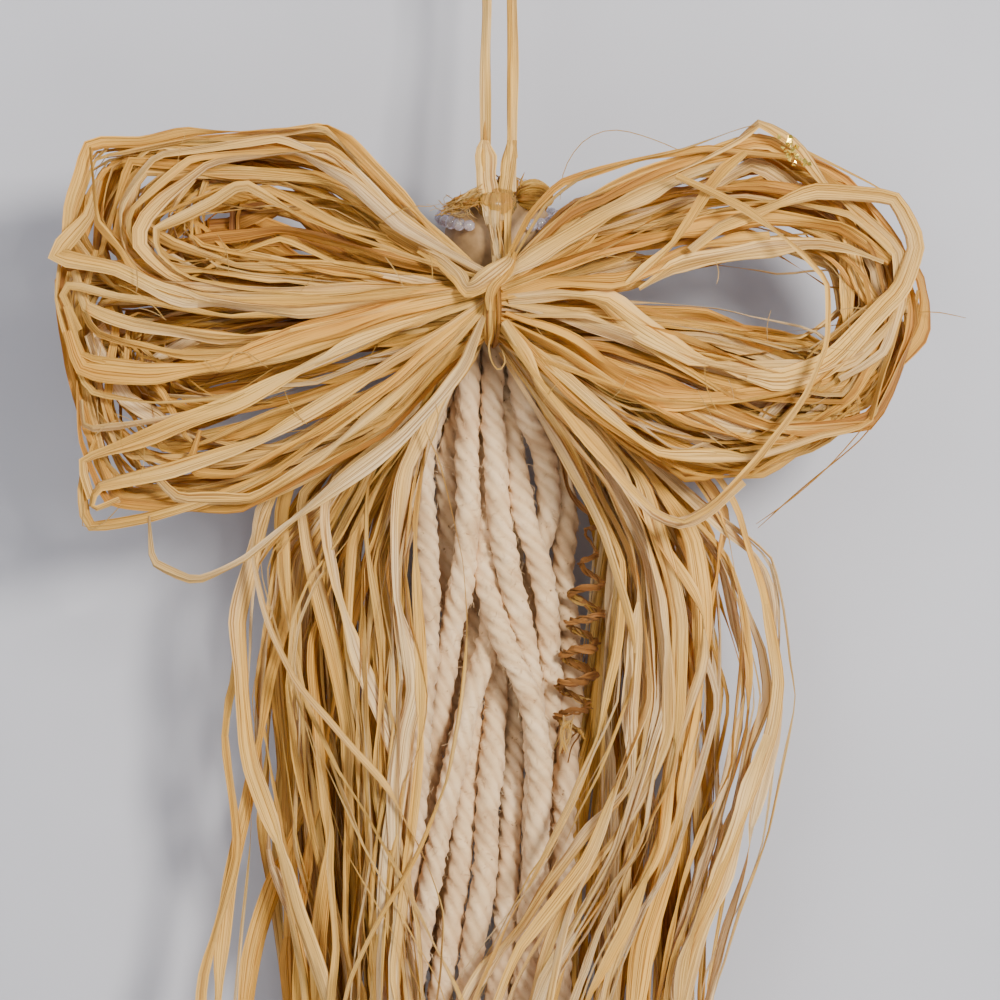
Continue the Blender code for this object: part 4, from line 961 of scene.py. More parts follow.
def wing_loop(outer, inner, share, side, back):
    """A loop of raffia between two outlines, out from the knot at the back and home nearer the front."""
    drift = Vector((rng.uniform(-0.02, 0.02), 0, rng.uniform(-0.03, 0.03)))
    seed = rng.random() * 50
    last = len(outer) - 1
    rise = [a[1] + (b[1] - a[1]) * share for a, b in zip(outer, inner)]

    def root(near, far, low, high, up):
        height = max(low, min(high, up * 60))
        return KNOT + Vector((side * 1.5 * MM, rng.uniform(near, far) * MM, height * MM))

    points = [root(-4, 0, -6, 6, rise[0])]
    for i, (a, b) in enumerate(zip(outer, inner)):
        calm = ease(i, 0, 2) * ease(last - i, 0, 2)
        loose = calm * (0.3 + 0.7 * ease(share, 0.0, 0.4))
        out = a[0] + (b[0] - a[0]) * share
        out += loose * (drift.x + 0.06 * noise.noise(Vector((i * 0.9, seed, 0))))
        out = min(out, 0.985)
        up = rise[i] + loose * (drift.z + 0.09 * noise.noise(Vector((i * 0.9, seed, 7))))
        layer = max(-1, min(1, back + 0.75 * (0.5 - i / last)))
        depth = wing_depth(math.hypot(out, up) * WING_REACH, layer)
        points.append(Vector((KNOT.x + side * out * WING_REACH, depth, KNOT.z + up * WING_REACH)))
    points.append(root(-5, 1, -7, 5, rise[-1]))
    return points


# Wide bands in front of the right side: depth and width in mm, tone, places on the view grid
FRONT_BANDS = (
    (-27.5, 4.4, 0.2, ((503, 322), (520, 352), (542, 386), (576, 420), (608, 452), (634, 486), (658, 512),
     (684, 520), (712, 508), (744, 482))),
    (-26.5, 2.6, 0.4, ((505, 320), (530, 350), (562, 384), (604, 420), (640, 444), (672, 452), (722, 452),
     (752, 458))),
)


def wing_loops(families, side):
    """Random loops for each family: thin ones at every depth, then broad ones at the back."""
    strips = []
    for outer, inner, count in families:
        for k in range(count):
            share = (k + rng.uniform(0, 0.9)) / count
            points = wing_loop(outer, inner, share, side, rng.uniform(-0.25, 0.75))
            width = rng.choice(WING_WIDTHS) * MM
            strips.append(strip(points, width, rng.choice(WING_TONES), rng.uniform(-0.6, 0.6),
                                tension=rng.uniform(0.3, 0.9), **THIN_LOOP))
        # Broad loops at the back, whose darker tones are painted shade.
        for k in range(BROAD_LOOPS):
            share = (k + rng.uniform(0, 0.9)) / BROAD_LOOPS
            points = wing_loop(outer, inner, share, side, 0.95)
            width = rng.uniform(2.8, 4.6) * MM
            strips.append(strip(points, width, rng.uniform(0.5, 0.8), rng.uniform(-0.4, 0.4),
                                tension=rng.uniform(0.3, 0.9), **BROAD_LOOP))
    return strips


def root_strips(side):
    """Short strips that fan out from the knot and fill the wing's gathered end."""
    strips = []
    for k in range(ROOT_STRIPS):
        rise = (k + rng.uniform(0, 1)) / ROOT_STRIPS * 1.5 - 0.72
        reach = rng.uniform(24, 38) * MM
        heading = Vector((side * math.cos(rise), rng.uniform(-0.06, 0.06), math.sin(rise)))
        start = KNOT + Vector((side * 1.0, -2 + rng.uniform(-2, 2), 7.5 * math.sin(rise))) * MM
        points = [start, start + heading * reach * 0.5, start + heading * reach]
        width = rng.uniform(2.6, 4.2) * MM
        tone = rng.choice((0.2, 0.4, 0.55, 0.65))
        strips.append(strip(points, width, tone, 0.0, 0.5, 0.0, tips=(0.45, 0.2)))
    return strips


def placed_strips(table, darker):
    """The listed wing strips, drawn in to the knot's depth near the knot."""
    strips = []
    for start, end, width, tone, places in table:
        last = len(places) - 1
        points = []
        for i, (x, y) in enumerate(places):
            depth = start + (end - start) * i / last
            near = ease(math.hypot(x - KNOT_ACROSS, y - KNOT_DOWN), 10, 130)
            points.append(spot(x, y, KNOT_DEPTH + (depth - KNOT_DEPTH) * (0.3 + 0.7 * near)))
        strips.append(strip(points, width * STEP * 1.12, tone + darker, tension=0.6, **WING_STRIP))
    return strips


def front_bands():
    strips = []
    for depth, width, tone, places in FRONT_BANDS:
        points = [spot(x, y, depth) for x, y in places]
        strips.append(strip(points, width * MM, tone, tension=0.5, **WING_BAND))
    return strips


def shaded_loops(families, side):
    """Dark broad loops at the back that fill the hollow inside each family."""
    strips = []
    for outer, inner, _ in families:
        for k in range(SHADED_LOOPS):
            share = 0.95 + 0.5 * (k + rng.uniform(0, 0.9)) / SHADED_LOOPS
            points = wing_loop(outer, inner, share, side, 0.95)
            width = rng.uniform(2.2, 4.4) * MM
            strips.append(strip(points, width, rng.uniform(0.6, 0.95), rng.uniform(-0.4, 0.4), tension=0.5,
                                **SHADED_LOOP))
    return strips


def make_wing(name, side, families, table, darker, stray):
    strips = wing_loops(families, side) + root_strips(side) + placed_strips(table, darker)
    # The next strips leave the random draws of the later pieces as they are.
    state = rng.getstate()
    strips += front_bands() if side > 0 else shaded_loops(families, side)
    rng.setstate(state)
    wing = ribbons(name, strips, RAFFIA)
    hairs = ribbons(name + "_stray", stray, RAFFIA, sides=4, flatness=0.7, crease=0.0)
    declare(join(name + "_strips", wing, hairs), (name,))


def stray_hair(width, tone, depth, places):
    """A loose fibre through places on the view grid, all at one depth."""
    points = [spot(x, y, depth) for x, y in places]
    return strip(points, width * MM, tone, 0.0, 0.2, 0.0, step=3.0 * MM, tips=(0.6, 0.3), pinch=0.1)


def random_hairs(count, low, high, length, depth):
    """Loose fibres that split off the strips, inside a box of the view grid."""
    found = []
    for _ in range(count):
        x = rng.uniform(low[0], high[0])
        y = rng.uniform(low[1], high[1])
        angle = rng.uniform(0, 2 * math.pi)
        bend = rng.uniform(-1.0, 1.0)
        size = rng.uniform(0.4, 1.0) * length
        places = []
        for k in range(4):
            places.append((x, y))
            x += size / 3 * math.cos(angle + bend * k / 3)
            y += size / 3 * math.sin(angle + bend * k / 3)
        width = rng.uniform(0.12, 0.3)
        found.append(stray_hair(width, rng.uniform(0.1, 0.5), depth + rng.uniform(-2, 2), places))
    return found


def make_wings():
    stray = random_hairs(22, (80, 160), (440, 480), 60, -31)
    stray.append(stray_hair(0.25, 0.3, -29, ((84, 500), (83, 527), (100, 526), (122, 504))))
    stray.append(stray_hair(0.3, 0.3, -30, ((268, 368), (240, 350), (222, 372), (200, 356))))
    families = ((LEFT_UPPER_OUTER, LEFT_UPPER_INNER, 30), (LEFT_LOWER_OUTER, LEFT_LOWER_INNER, 34))
    make_wing("wing_left", -1, families, LEFT_STRIPS, 0.11, stray)
    stray = random_hairs(20, (540, 180), (880, 430), 60, -30)
    stray.append(stray_hair(0.22, 0.75, -20, ((860, 320), (900, 314), (935, 312), (966, 318))))
    stray.append(stray_hair(0.35, 0.75, -22, ((880, 410), (860, 440), (800, 490), (758, 528))))
    stray.append(stray_hair(0.3, 0.65, -23, ((868, 422), (830, 465), (790, 500), (756, 524))))
    arch = ((560, 200), (565, 168), (585, 140), (615, 130), (655, 140), (700, 160))
    stray.append(stray_hair(0.2, 0.35, -19, arch))
    families = ((RIGHT_UPPER_OUTER, RIGHT_UPPER_INNER, 30), (RIGHT_LOWER_OUTER, RIGHT_LOWER_INNER, 28))
    make_wing("wing_right", 1, families, RIGHT_STRIPS, 0.16, stray)


# Skirts

def skirt_strips(side, across_rows, depth_rows, each, paler):
    """Random strips that follow each row of the skirt, from the knot to a ragged hem."""
    strips = []
    for across, depth, count in zip(across_rows, depth_rows, each):
        for _ in range(count):
            start = KNOT + Vector((side * rng.uniform(1, 3) * MM, 4.5 * MM + rng.uniform(-2, 2) * MM,
                                   rng.uniform(-5, -1) * MM))
            points = [start, start + Vector((side * rng.uniform(4, 9), rng.uniform(-1, 1), -9)) * MM]
            shift = rng.uniform(-6, 6)
            sink = rng.uniform(-1.4, 1.4)
            seed = rng.random() * 50
            hem = rng.uniform(0, 22)
            for i, (x, y, drop) in enumerate(zip(across, depth, SKIRT_DROPS)):
                wander = 6 * noise.noise(Vector((i * 0.75, seed, 0)))
                low = drop - hem if i == len(SKIRT_DROPS) - 1 else drop
                grown = ease(i, 0, 2)
                sideways = x + grown * (shift + wander)
                points.append(Vector((sideways * MM, (y + sink) * MM, KNOT.z - low * MM)))
            width = rng.choice(SKIRT_WIDTHS) * MM
            # Strips that lie farther back get a darker tone: painted shade.
            behind = ease(depth[2], -8, 8)
            tone = rng.choice(SKIRT_TONES) + 0.2 * behind - paler
            strips.append(strip(points, width, tone, rng.uniform(-0.6, 0.6), tension=rng.uniform(0.3, 0.8),
                                **SKIRT_STRIP))
    return strips


def back_strips(side, low, high):
    """The shaded strips at the back of the skirt, nearly upright, between two places on the view grid."""
    strips = []
    for k in range(BACK_STRIPS):
        x = low + (high - low) * (k + rng.uniform(0, 1)) / BACK_STRIPS
        out = x - KNOT_ACROSS
        depth = rng.uniform(6, 12)
        lean = rng.uniform(-22, 22)
        points = [spot(KNOT_ACROSS + out * 0.25, 395, 0), spot(KNOT_ACROSS + out * 0.75, 450, depth * 0.7),
                  spot(x, 540, depth), spot(x + lean * 0.6, 700, depth + rng.uniform(-1, 1)),
                  spot(x + lean - side * 12, 860, depth),
                  spot(x + lean * 1.2 - side * 22, rng.uniform(1020, 1090), depth)]
        width = rng.uniform(1.6, 4.0) * MM
        strips.append(strip(points, width, rng.uniform(0.35, 0.75), rng.uniform(-0.4, 0.4), tension=0.6,
                            **BACK_STRIP))
    return strips


def tail_strips(table):
    """The listed skirt strips, at their full depth by half way down."""
    strips = []
    for start, end, width, tone, places in table:
        last = len(places) - 1
        points = []
        for i, (x, y) in enumerate(places):
            points.append(spot(x, y, start + (end - start) * min(1, i * 2 / last)))
        strips.append(strip(points, width * STEP * 1.1, tone, tension=0.5, **TAIL_STRIP))
    return strips


def make_skirt(name, side, rows, paler, back, table):
    strips = skirt_strips(side, *rows, paler) + back_strips(side, *back) + tail_strips(table)
    declare(ribbons(name + "_strips", strips, RAFFIA, sides=10), (name,))


def make_skirts():
    rows = (LEFT_SKIRT_ACROSS, LEFT_SKIRT_DEPTH, (2, 3, 8, 14, 16, 14, 9, 4))
    make_skirt("skirt_left", -1, rows, 0.08, (285, 405), LEFT_TAILS)
    rows = (RIGHT_SKIRT_ACROSS, RIGHT_SKIRT_DEPTH, (3, 8, 10, 8, 4, 15, 15, 10))
    make_skirt("skirt_right", 1, rows, 0.2, (597, 712), RIGHT_TAILS)


# Skirt strips, listed as the wing strips are
LEFT_TAILS = (
    (-9, -10, 15, 0.28, ((455, 365), (350, 430), (285, 480), (267, 513), (253, 560), (239, 623), (243, 687),
     (253, 767), (277, 840), (297, 913), (327, 1000), (345, 1085))),
    (-6, -6, 13, 0.42, ((455, 360), (350, 420), (290, 480), (280, 520), (287, 613), (270, 680), (260, 747),
     (247, 807), (230, 880), (220, 963), (214, 1090))),
    (-11, -18, 8, 0.22, ((450, 370), (340, 440), (262, 500), (253, 557), (273, 630), (297, 683), (340, 733),
     (387, 787), (420, 847), (443, 913), (442, 973), (425, 1085))),
    (-10, -11, 7, 0.35, ((273, 630), (297, 687), (320, 763), (333, 833), (331, 867), (335, 947),
     (330, 1000), (326, 1080))),
    (-8, -9, 13, 0.38, ((460, 370), (380, 430), (318, 480), (303, 500), (310, 553), (333, 647), (347, 727),
     (347, 780), (348, 847), (350, 947), (360, 1000), (365, 1085))),
    (-12, -13, 15, 0.12, ((465, 365), (390, 430), (340, 480), (330, 513), (337, 587), (357, 657),
     (387, 720), (403, 763), (407, 797), (404, 850))),
    (-13, -14, 7, 0.45, ((470, 360), (400, 430), (370, 480), (367, 540), (380, 620), (383, 687), (378, 760),
     (384, 860))),
    (-14, -16, 19, 0.05, ((474, 352), (432, 410), (406, 470), (402, 530), (401, 600), (412, 650),
     (414, 690), (403, 735), (398, 780), (394, 850))),
    (-18, -19, 4, 0.35, ((478, 340), (425, 420), (440, 465), (463, 557), (467, 630), (460, 707), (447, 780),
     (417, 853), (380, 917), (350, 985), (330, 1080))),
    (-12, -15, 10, 0.30, ((330, 760), (353, 820), (377, 880), (397, 940), (410, 1000), (420, 1085))),
    (-16, -17, 5, 0.25, ((387, 800), (400, 840), (413, 890), (421, 960), (423, 1000), (428, 1085))),
    # A strip at the back of the skirt: its brown tone is painted shade.
    (4, 4, 18, 0.55, ((345, 660), (325, 760), (300, 820), (275, 880), (258, 940), (247, 1000),
     (240, 1080))),
    (-14, -12, 3, 0.40, ((440, 400), (373, 483), (343, 537), (310, 580), (293, 623), (289, 680),
     (296, 740))),
    (-14, -12, 3, 0.30, ((440, 396), (378, 483), (350, 535), (318, 580), (300, 623), (294, 670),
     (297, 720))),
    (-10, -10, 17, 0.30, ((410, 800), (400, 863), (384, 913), (376, 980), (372, 1080))),
    # These three strips at the back of the skirt have brown tones that are painted shade.
    (0, 0, 16, 0.62, ((420, 430), (380, 520), (350, 620), (330, 720), (310, 820), (300, 920), (296, 1080))),
    (1, 1, 14, 0.70, ((430, 430), (400, 520), (385, 620), (372, 720), (366, 820), (352, 920), (350, 1080))),
    (-4, -4, 15, 0.50, ((420, 430), (350, 540), (318, 640), (322, 740), (330, 840), (318, 940),
     (312, 1080))),
    (-10, -12, 9, 0.30, ((460, 380), (390, 460), (352, 540), (348, 640), (362, 740), (372, 840), (360, 940),
     (352, 1080))),
)
RIGHT_TAILS = (
    (-10, -8, 12, 0.30, ((560, 390), (660, 430), (713, 470), (740, 513), (760, 573), (770, 627), (777, 683),
     (770, 733), (747, 793), (730, 843), (707, 900), (683, 967), (672, 1080))),
    (-8, -8, 20, 0.20, ((768, 735), (750, 790), (735, 840), (714, 900), (694, 950), (682, 1000),
     (668, 1080))),
    (-9, -7, 8, 0.40, ((580, 400), (680, 460), (727, 533), (737, 587), (742, 633), (737, 700), (730, 767),
     (707, 817), (683, 883), (673, 933), (657, 1000), (645, 1080))),
    (-16, -15, 9, 0.20, ((500, 345), (540, 400), (570, 457), (593, 507), (620, 572))),
    (-14, -17, 17, 0.12, ((505, 345), (560, 420), (607, 483), (630, 540), (640, 600), (637, 660),
     (630, 717), (630, 783), (590, 830), (540, 893), (500, 950), (465, 1000), (440, 1080))),
    (-13, -15, 16, 0.28, ((510, 345), (590, 440), (650, 527), (700, 613), (697, 667), (673, 750),
     (657, 833), (633, 900), (607, 983), (590, 1080))),
    (-11, -11, 16, 0.45, ((515, 345), (620, 440), (690, 533), (703, 613), (700, 700), (687, 783),
     (670, 867), (647, 940), (637, 1000), (625, 1080))),
    (-6, -5, 18, 0.60, ((520, 350), (650, 430), (727, 517), (717, 587), (707, 650), (697, 717), (687, 783),
     (657, 900), (640, 1000), (630, 1080))),
    (-16, -18, 7, 0.25, ((505, 350), (570, 450), (620, 560), (617, 650), (600, 727), (573, 800), (540, 867),
     (500, 940), (470, 1010), (450, 1080))),
    (-15, -16, 12, 0.20, ((520, 350), (620, 470), (667, 600), (667, 733), (630, 817), (573, 893),
     (540, 967), (510, 1080))),
    (-14, -16, 15, 0.35, ((530, 360), (640, 480), (680, 620), (672, 770), (623, 873), (573, 947),
     (553, 1000), (530, 1080))),
    (-9, -9, 10, 0.30, ((520, 360), (600, 440), (650, 533), (657, 600), (653, 667), (640, 733), (630, 850),
     (622, 960), (610, 1080))),
    # These two strips at the back of the skirt have brown tones that are painted shade.
    (2, 4, 14, 0.70, ((530, 370), (600, 450), (650, 560), (660, 680), (650, 800), (630, 920), (620, 1080))),
    (-3, -3, 12, 0.75, ((540, 380), (640, 460), (690, 560), (690, 680), (672, 800), (650, 920),
     (640, 1080))),
    (-17, -19, 8, 0.22, ((500, 352), (560, 450), (606, 540), (632, 640), (628, 740), (600, 830), (566, 920),
     (548, 1000), (540, 1080))),
)


# Knot, hanger and head

# The band folded across the knot and the strip that comes down over it: view grid and depth in mm
TIE_BAND = ((418, 246, -23), (440, 258, -25), (458, 274, -27.5), (466, 287, -28.6), (476, 285, -29.6),
            (488, 276, -30.0), (498, 269, -29.4), (506, 263, -27.0), (509, 259, -24.0))
TIE_STRIP = ((511, 252, -22), (508, 266, -26), (502, 277, -29.4), (493, 287, -30.2), (489, 298, -29.6),
             (489, 310, -28))
TIE_HAIR = ((493, 330), (489, 346), (492, 362), (499, 370), (505, 362), (502, 350))


def tie_turns():
    """Narrow twisted turns of raffia round the knot."""
    strips = []
    for k in range(TIE_TURNS):
        x = KNOT.x + (-0.5 + (k + 0.5) / TIE_TURNS) * KNOT_WIDTH * 0.6
        lean = rng.uniform(-1.2, 1.2) * MM
        swell = 1 - 0.05 * (k % 3)
        points = []
        for i in range(13):
            angle = math.pi * (0.5 + i / 6)
            points.append(Vector((x + lean * math.cos(angle),
                                  KNOT.y + KNOT_HALF_DEPTH * swell * math.cos(angle),
                                  KNOT.z + KNOT_HALF_HEIGHT * swell * math.sin(angle))))

        def outward(i, place):
            return Vector((0.25 * math.sin(k * 2.0), place.y - KNOT.y, place.z - KNOT.z)).normalized()

        strips.append(strip(points, rng.uniform(0.6, 1.1) * MM, rng.choice((0.4, 0.65, 0.9)), 0.0, 1.6, 0.0,
                            step=1.2 * MM, tips=(1, 1), facing=outward, turns=6.0))
    return strips


def tie_bands():
    """The folded band, the strip over it and one loose hair below."""
    strips = []
    for k in range(3):
        points = [spot(x, y + k * 5, depth + k * 0.5) for x, y, depth in TIE_BAND]
        strips.append(strip(points, (3.6 - 0.7 * k) * MM, 0.25 + 0.12 * k, 0.5 * k, 0.5, 0.3, step=1.4 * MM,
                            tips=(0.4, 0.6), kink=0.35 * MM, turns=1.4))
    for k in range(2):
        points = [spot(x + k * 4, y, depth + k * 0.4) for x, y, depth in TIE_STRIP]
        strips.append(strip(points, (1.9 - 0.5 * k) * MM, 0.35 + 0.25 * k, 0.6, 0.6, 0.2, step=1.4 * MM,
                            tips=(0.5, 0.5), kink=0.3 * MM, turns=1.6))
    points = [spot(x, y, -26.5) for x, y in TIE_HAIR]
    strips.append(strip(points, 0.35 * MM, 0.45, 0.0, 0.4, 0.0, step=1.0 * MM))
    return strips


def tie_core():
    """The solid core that the turns lie on, with one tone for its whole surface."""
    bm = bmesh.new()
    rings = []
    for across, swell in ((-0.5, 0.80), (-0.3, 0.92), (0.0, 0.94), (0.3, 0.92), (0.5, 0.80)):
        ring = []
        for j in range(24):
            angle = math.pi * j / 12
            ring.append(bm.verts.new((KNOT.x + across * KNOT_WIDTH * 0.66,
                                      KNOT.y + KNOT_HALF_DEPTH * swell * math.cos(angle),
                                      KNOT.z + KNOT_HALF_HEIGHT * swell * math.sin(angle))))
        rings.append(ring)
    for low, high in zip(rings, rings[1:]):
        for j in range(24):
            bm.faces.new((low[j], low[(j + 1) % 24], high[(j + 1) % 24], high[j]))
    bm.faces.new(list(reversed(rings[0])))
    bm.faces.new(rings[-1])
    core = body("knot_core", bm, RAFFIA)
    for label, value in (("tone", 0.5), ("strand", 0.4), ("across", 0.1), ("along", 0.02)):
        layer = core.data.attributes.new(label, 'FLOAT', 'POINT')
        layer.data.foreach_set("value", [value] * len(core.data.vertices))
    return core


def make_knot():
    wraps = ribbons("knot_wraps", tie_turns() + tie_bands(), RAFFIA, sides=8, flatness=0.3, crease=0.5)
    declare(join("knot_tie_wraps", wraps, tie_core()), ("knot_tie",))


def body(name, bm, material, smooth=True):
    bmesh.ops.recalc_face_normals(bm, faces=bm.faces)
    mesh = bpy.data.meshes.new(name)
    bm.to_mesh(mesh)
    bm.free()
    if smooth:
        mesh.shade_smooth()
    mesh.materials.append(material)
    return link(bpy.data.objects.new(name, mesh))


# Hanger, in millimetres: the turn over the hook, then the places that its ends pass below the glue
HOOK_RADIUS = 4.7
END_DOWN = (140, 165, 188, 204, 222)
END_DEPTH = (-11.6, -12.3, -13.0, -13.6, -14.6)
HANGER_ENDS = (
    ((485, 486, 488, 493, 498), 4.8, 0.27),
    ((482, 483, 485, 491, 497), 2.2, 0.42),
    ((511, 509, 506, 503, 501), 3.4, 0.3),
    ((515, 512, 509, 506, 503), 1.8, 0.45),
)


def hanger_route():
    """Up from the glue, over the hook and down again."""
    half = 2.95
    glue_y = -12.1
    glue_z = -84.0
    left = [(-half, glue_y - 0.2, glue_z - 2), (-half - 0.4, glue_y * 0.66, glue_z * 0.66),
            (-half - 0.2, glue_y * 0.4, glue_z * 0.4), (-HOOK_RADIUS * 0.92, glue_y * 0.1, -11)]
    arc = []
    for k in range(5):
        angle = math.pi * (1 - k / 4)
        arc.append((HOOK_RADIUS * math.cos(angle), 0, 0.3 - HOOK_RADIUS + HOOK_RADIUS * math.sin(angle)))
    right = [(-x, y, z) for x, y, z in reversed(left)]
    return [Vector(p) * MM for p in left + arc + right]


def over_hook(i, place):
    """The way that the loop faces: to the front low down, and away from the hook over it."""
    turn = ease(place.z, -20 * MM, -9 * MM)
    out = Vector((place.x, 0, place.z + HOOK_RADIUS * MM)).normalized()
    return (FRONT * (1 - turn) + out * turn).normalized()


def make_hanger_loop():
    route = hanger_route()
    strips = [strip(route, 2.8 * MM, 0.24, 0.0, 0.5, 0.0, step=2.6 * MM, tips=(0.8, 0.8), facing=over_hook)]
    second = [p + Vector((-0.7 * MM, -0.5 * MM, 0.1 * MM)) for p in route[5:]]
    strips.append(strip(second, 1.0 * MM, 0.4, 0.2, 0.6, 0.0, step=2.6 * MM, tips=(0.4, 0.8),
                        facing=over_hook))
    third = [p + Vector((0.3 * MM, 0.4 * MM, 0.2 * MM)) for p in route[:7]]
    strips.append(strip(third, 1.6 * MM, 0.5, 0.3, 0.6, 0.0, step=2.6 * MM, tips=(0.8, 0.4),
                        facing=over_hook))
    for across, width, tone in HANGER_ENDS:
        points = [spot(x, y, depth) for x, y, depth in zip(across, END_DOWN, END_DEPTH)]
        strips.append(strip(points, width * MM, tone, 0.0, 0.5, 0.0, step=1.8 * MM, tips=(0.45, 0.6),
                            kink=0.3 * MM))
    declare(ribbons("hanger_loop_strips", strips, RAFFIA, crease=0.4), ("hanger_loop",))


def make_hanger_tail():
    """The pleated ends that run from the glue down to the knot."""
    strips = []
    for k in range(PLEATS):
        x = -2.6 + 1.05 * k
        odd = k % 2
        points = [Vector(p) * MM for p in (
            (x * 0.9, -13.8, -86.5), (x, -14.4 - 0.25 * odd, -91.5),
            (x * 0.85 + 0.4, -14.9 - 0.4 * odd, -97.0), (x * 0.55 + 1.1, -17, -104.2),
            (x * 0.35 + 1.2, -19, -107.5))]
        width = rng.uniform(1.2, 2.2) * MM
        strips.append(strip(points, width, rng.choice((0.2, 0.35, 0.5)), rng.uniform(-0.9, 0.9), 0.9, 0.0,
                            step=1.8 * MM, tips=(0.8, 0.6), kink=0.3 * MM, turns=2.5))
    declare(ribbons("hanger_tail_strips", strips, RAFFIA, crease=0.5), ("hanger_tail",))


def make_glue():
    """A lumpy clear blob where the hanger meets the head."""
    bm = bmesh.new()
    bmesh.ops.create_icosphere(bm, subdivisions=4, radius=1.0)
    for vert in bm.verts:
        swell = 1 + 0.30 * noise.noise(vert.co * 1.7) + 0.06 * noise.noise(vert.co * 4.5)
        vert.co = Vector((vert.co.x * 4.9 * MM * swell, vert.co.y * 2.9 * MM * swell - 12.2 * MM,
                          vert.co.z * 3.7 * MM * swell - 89.0 * MM))
    material = plain_material("clear_glue", Roughness=0.12)
    shader = material.node_tree.nodes["Principled BSDF"]
    shader.inputs["Base Color"].default_value = (0.96, 0.74, 0.30, 1.0)
    shader.inputs["Transmission Weight"].default_value = 0.93
    shader.inputs["IOR"].default_value = 1.22
    declare(body("hanger_glue_blob", bm, material), ("hanger_glue",))


def make_ball():
    bm = bmesh.new()
    bmesh.ops.create_uvsphere(bm, u_segments=64, v_segments=40, radius=HEAD_RADIUS)
    bmesh.ops.translate(bm, verts=bm.verts, vec=(0, HEAD_Y, -HEAD_DROP))
    wood = grained_material("ball_wood", (0.26, 0.145, 0.055), (0.50, 0.31, 0.135), 210.0, 0.6, 0.3)
    declare(body("head_ball_round", bm, wood), ("head_ball",))


def strand(points, widths, tones, sway, tips, kink=0.0, step=1.2 * MM):
    """A fine strand with one of the widths, in mm, and a tone between the two given."""
    width = rng.choice(widths) * MM
    return strip(points, width, rng.uniform(*tones), 0.0, sway, 0.0, step=step, tips=tips, kink=kink)


def make_tuft():
    """Frayed strands beside the hanger, curly ends at their left and a few short ones behind it."""
    strips = []
    for _ in range(TUFT_STRANDS):
        begin = rng.uniform(0, 0.5)
        length = rng.uniform(0.3, 0.6)
        deep = rng.uniform(-15, -8)
        drop = rng.uniform(-9, 9)
        points = []
        for i in range(5):
            share = begin + length * i / 4
            across = 484 - 40 * share + rng.uniform(-1.6, 1.6)
            down = 193 + 17 * share + drop * (1 - 0.5 * share) + rng.uniform(-1.8, 1.8)
            points.append(spot(across, down, deep + rng.uniform(-0.7, 0.7)))
        strips.append(strand(points, (0.12, 0.2, 0.35, 0.6), (0.1, 1.0), 1.4, (0.5, 0.3), kink=0.35 * MM))
    for _ in range(TUFT_CURLS):
        place = Vector((rng.uniform(443, 470), rng.uniform(202, 215), 0))
        heading = rng.uniform(0, 2 * math.pi)
        points = []
        for _ in range(6):
            points.append(spot(place.x, place.y, rng.uniform(-16, -13)))
            heading += rng.uniform(-0.9, 0.9)
            place += Vector((math.cos(heading), 0.7 * math.sin(heading), 0)) * rng.uniform(2.0, 4.5)
        strips.append(strand(points, (0.1, 0.16, 0.24), (0.0, 0.6), 1.0, (0.5, 0.3), step=1.0 * MM))
    for _ in range(TUFT_BACK):
        x = rng.uniform(496, 522)
        points = [spot(x, 194, -7), spot(x + rng.uniform(-4, 4), rng.uniform(178, 186), -9),
                  spot(x + rng.uniform(-9, 9), rng.uniform(171, 180), rng.uniform(-8, -4))]
        strips.append(strand(points, (0.2, 0.4, 0.9), (0.4, 0.9), 1.0, (0.8, 0.3)))
    tuft = ribbons("hair_tuft_strands", strips, RAFFIA, sides=5, flatness=0.4, crease=0.2)
    declare(tuft, ("hair_tuft",))


def make_curl():
    """Strands wound over a small bun, with frayed ends below it."""
    strips = []
    for k in range(BUN_STRANDS):
        lean = math.radians(rng.uniform(-35, 125))
        size = rng.uniform(3.7, 4.5)
        low = rng.uniform(0.0, 0.5)
        high = math.pi - rng.uniform(0.0, 0.5)
        points = []
        for i in range(8):
            angle = low + (high - low) * i / 7
            out = size * math.sin(angle) + 0.25 * math.sin(k + i)
            around = Vector((size * math.cos(angle), -out * math.sin(lean), out * math.cos(lean)))
            points.append(spot(534, 199, -6.3) + around * MM)
        strips.append(strand(points, (0.25, 0.4, 0.7, 1.1), (0.45, 0.9), 0.9, (0.6, 0.4), kink=0.2 * MM))
    for _ in range(BUN_FRAYS):
        x = rng.uniform(526, 546)
        points = [spot(x, 196, -8), spot(x + rng.uniform(-3, 3), 203, -9.5),
                  spot(x + rng.uniform(-6, 6), rng.uniform(207, 213), rng.uniform(-10, -8))]
        strips.append(strand(points, (0.15, 0.25, 0.5), (0.5, 1.0), 1.0, (0.8, 0.3)))
    curl = ribbons("hair_curl_strands", strips, RAFFIA, sides=6, flatness=0.4, crease=0.3)
    declare(curl, ("hair_curl",))


def bead_tree():
    """Points to round beads."""
    tree = new_tree("bead_string", (("Places", 'NodeSocketGeometry'), ("Radius", 'NodeSocketFloat'),
                                    ("Material", 'NodeSocketMaterial')), "Beads")
    group = make_node(tree, 'NodeGroupInput')
    ball = make_node(tree, 'GeometryNodeMeshUVSphere',
                     {"Segments": 9, "Rings": 7, "Radius": group.outputs["Radius"]})
    beads = make_node(tree, 'GeometryNodeInstanceOnPoints', {
        "Points": group.outputs["Places"], "Instance": ball.outputs[0],
        "Scale": random_value(tree, 0.9, 1.05, 3)})
    return finish_tree(tree, beads.outputs[0], group, "Beads")


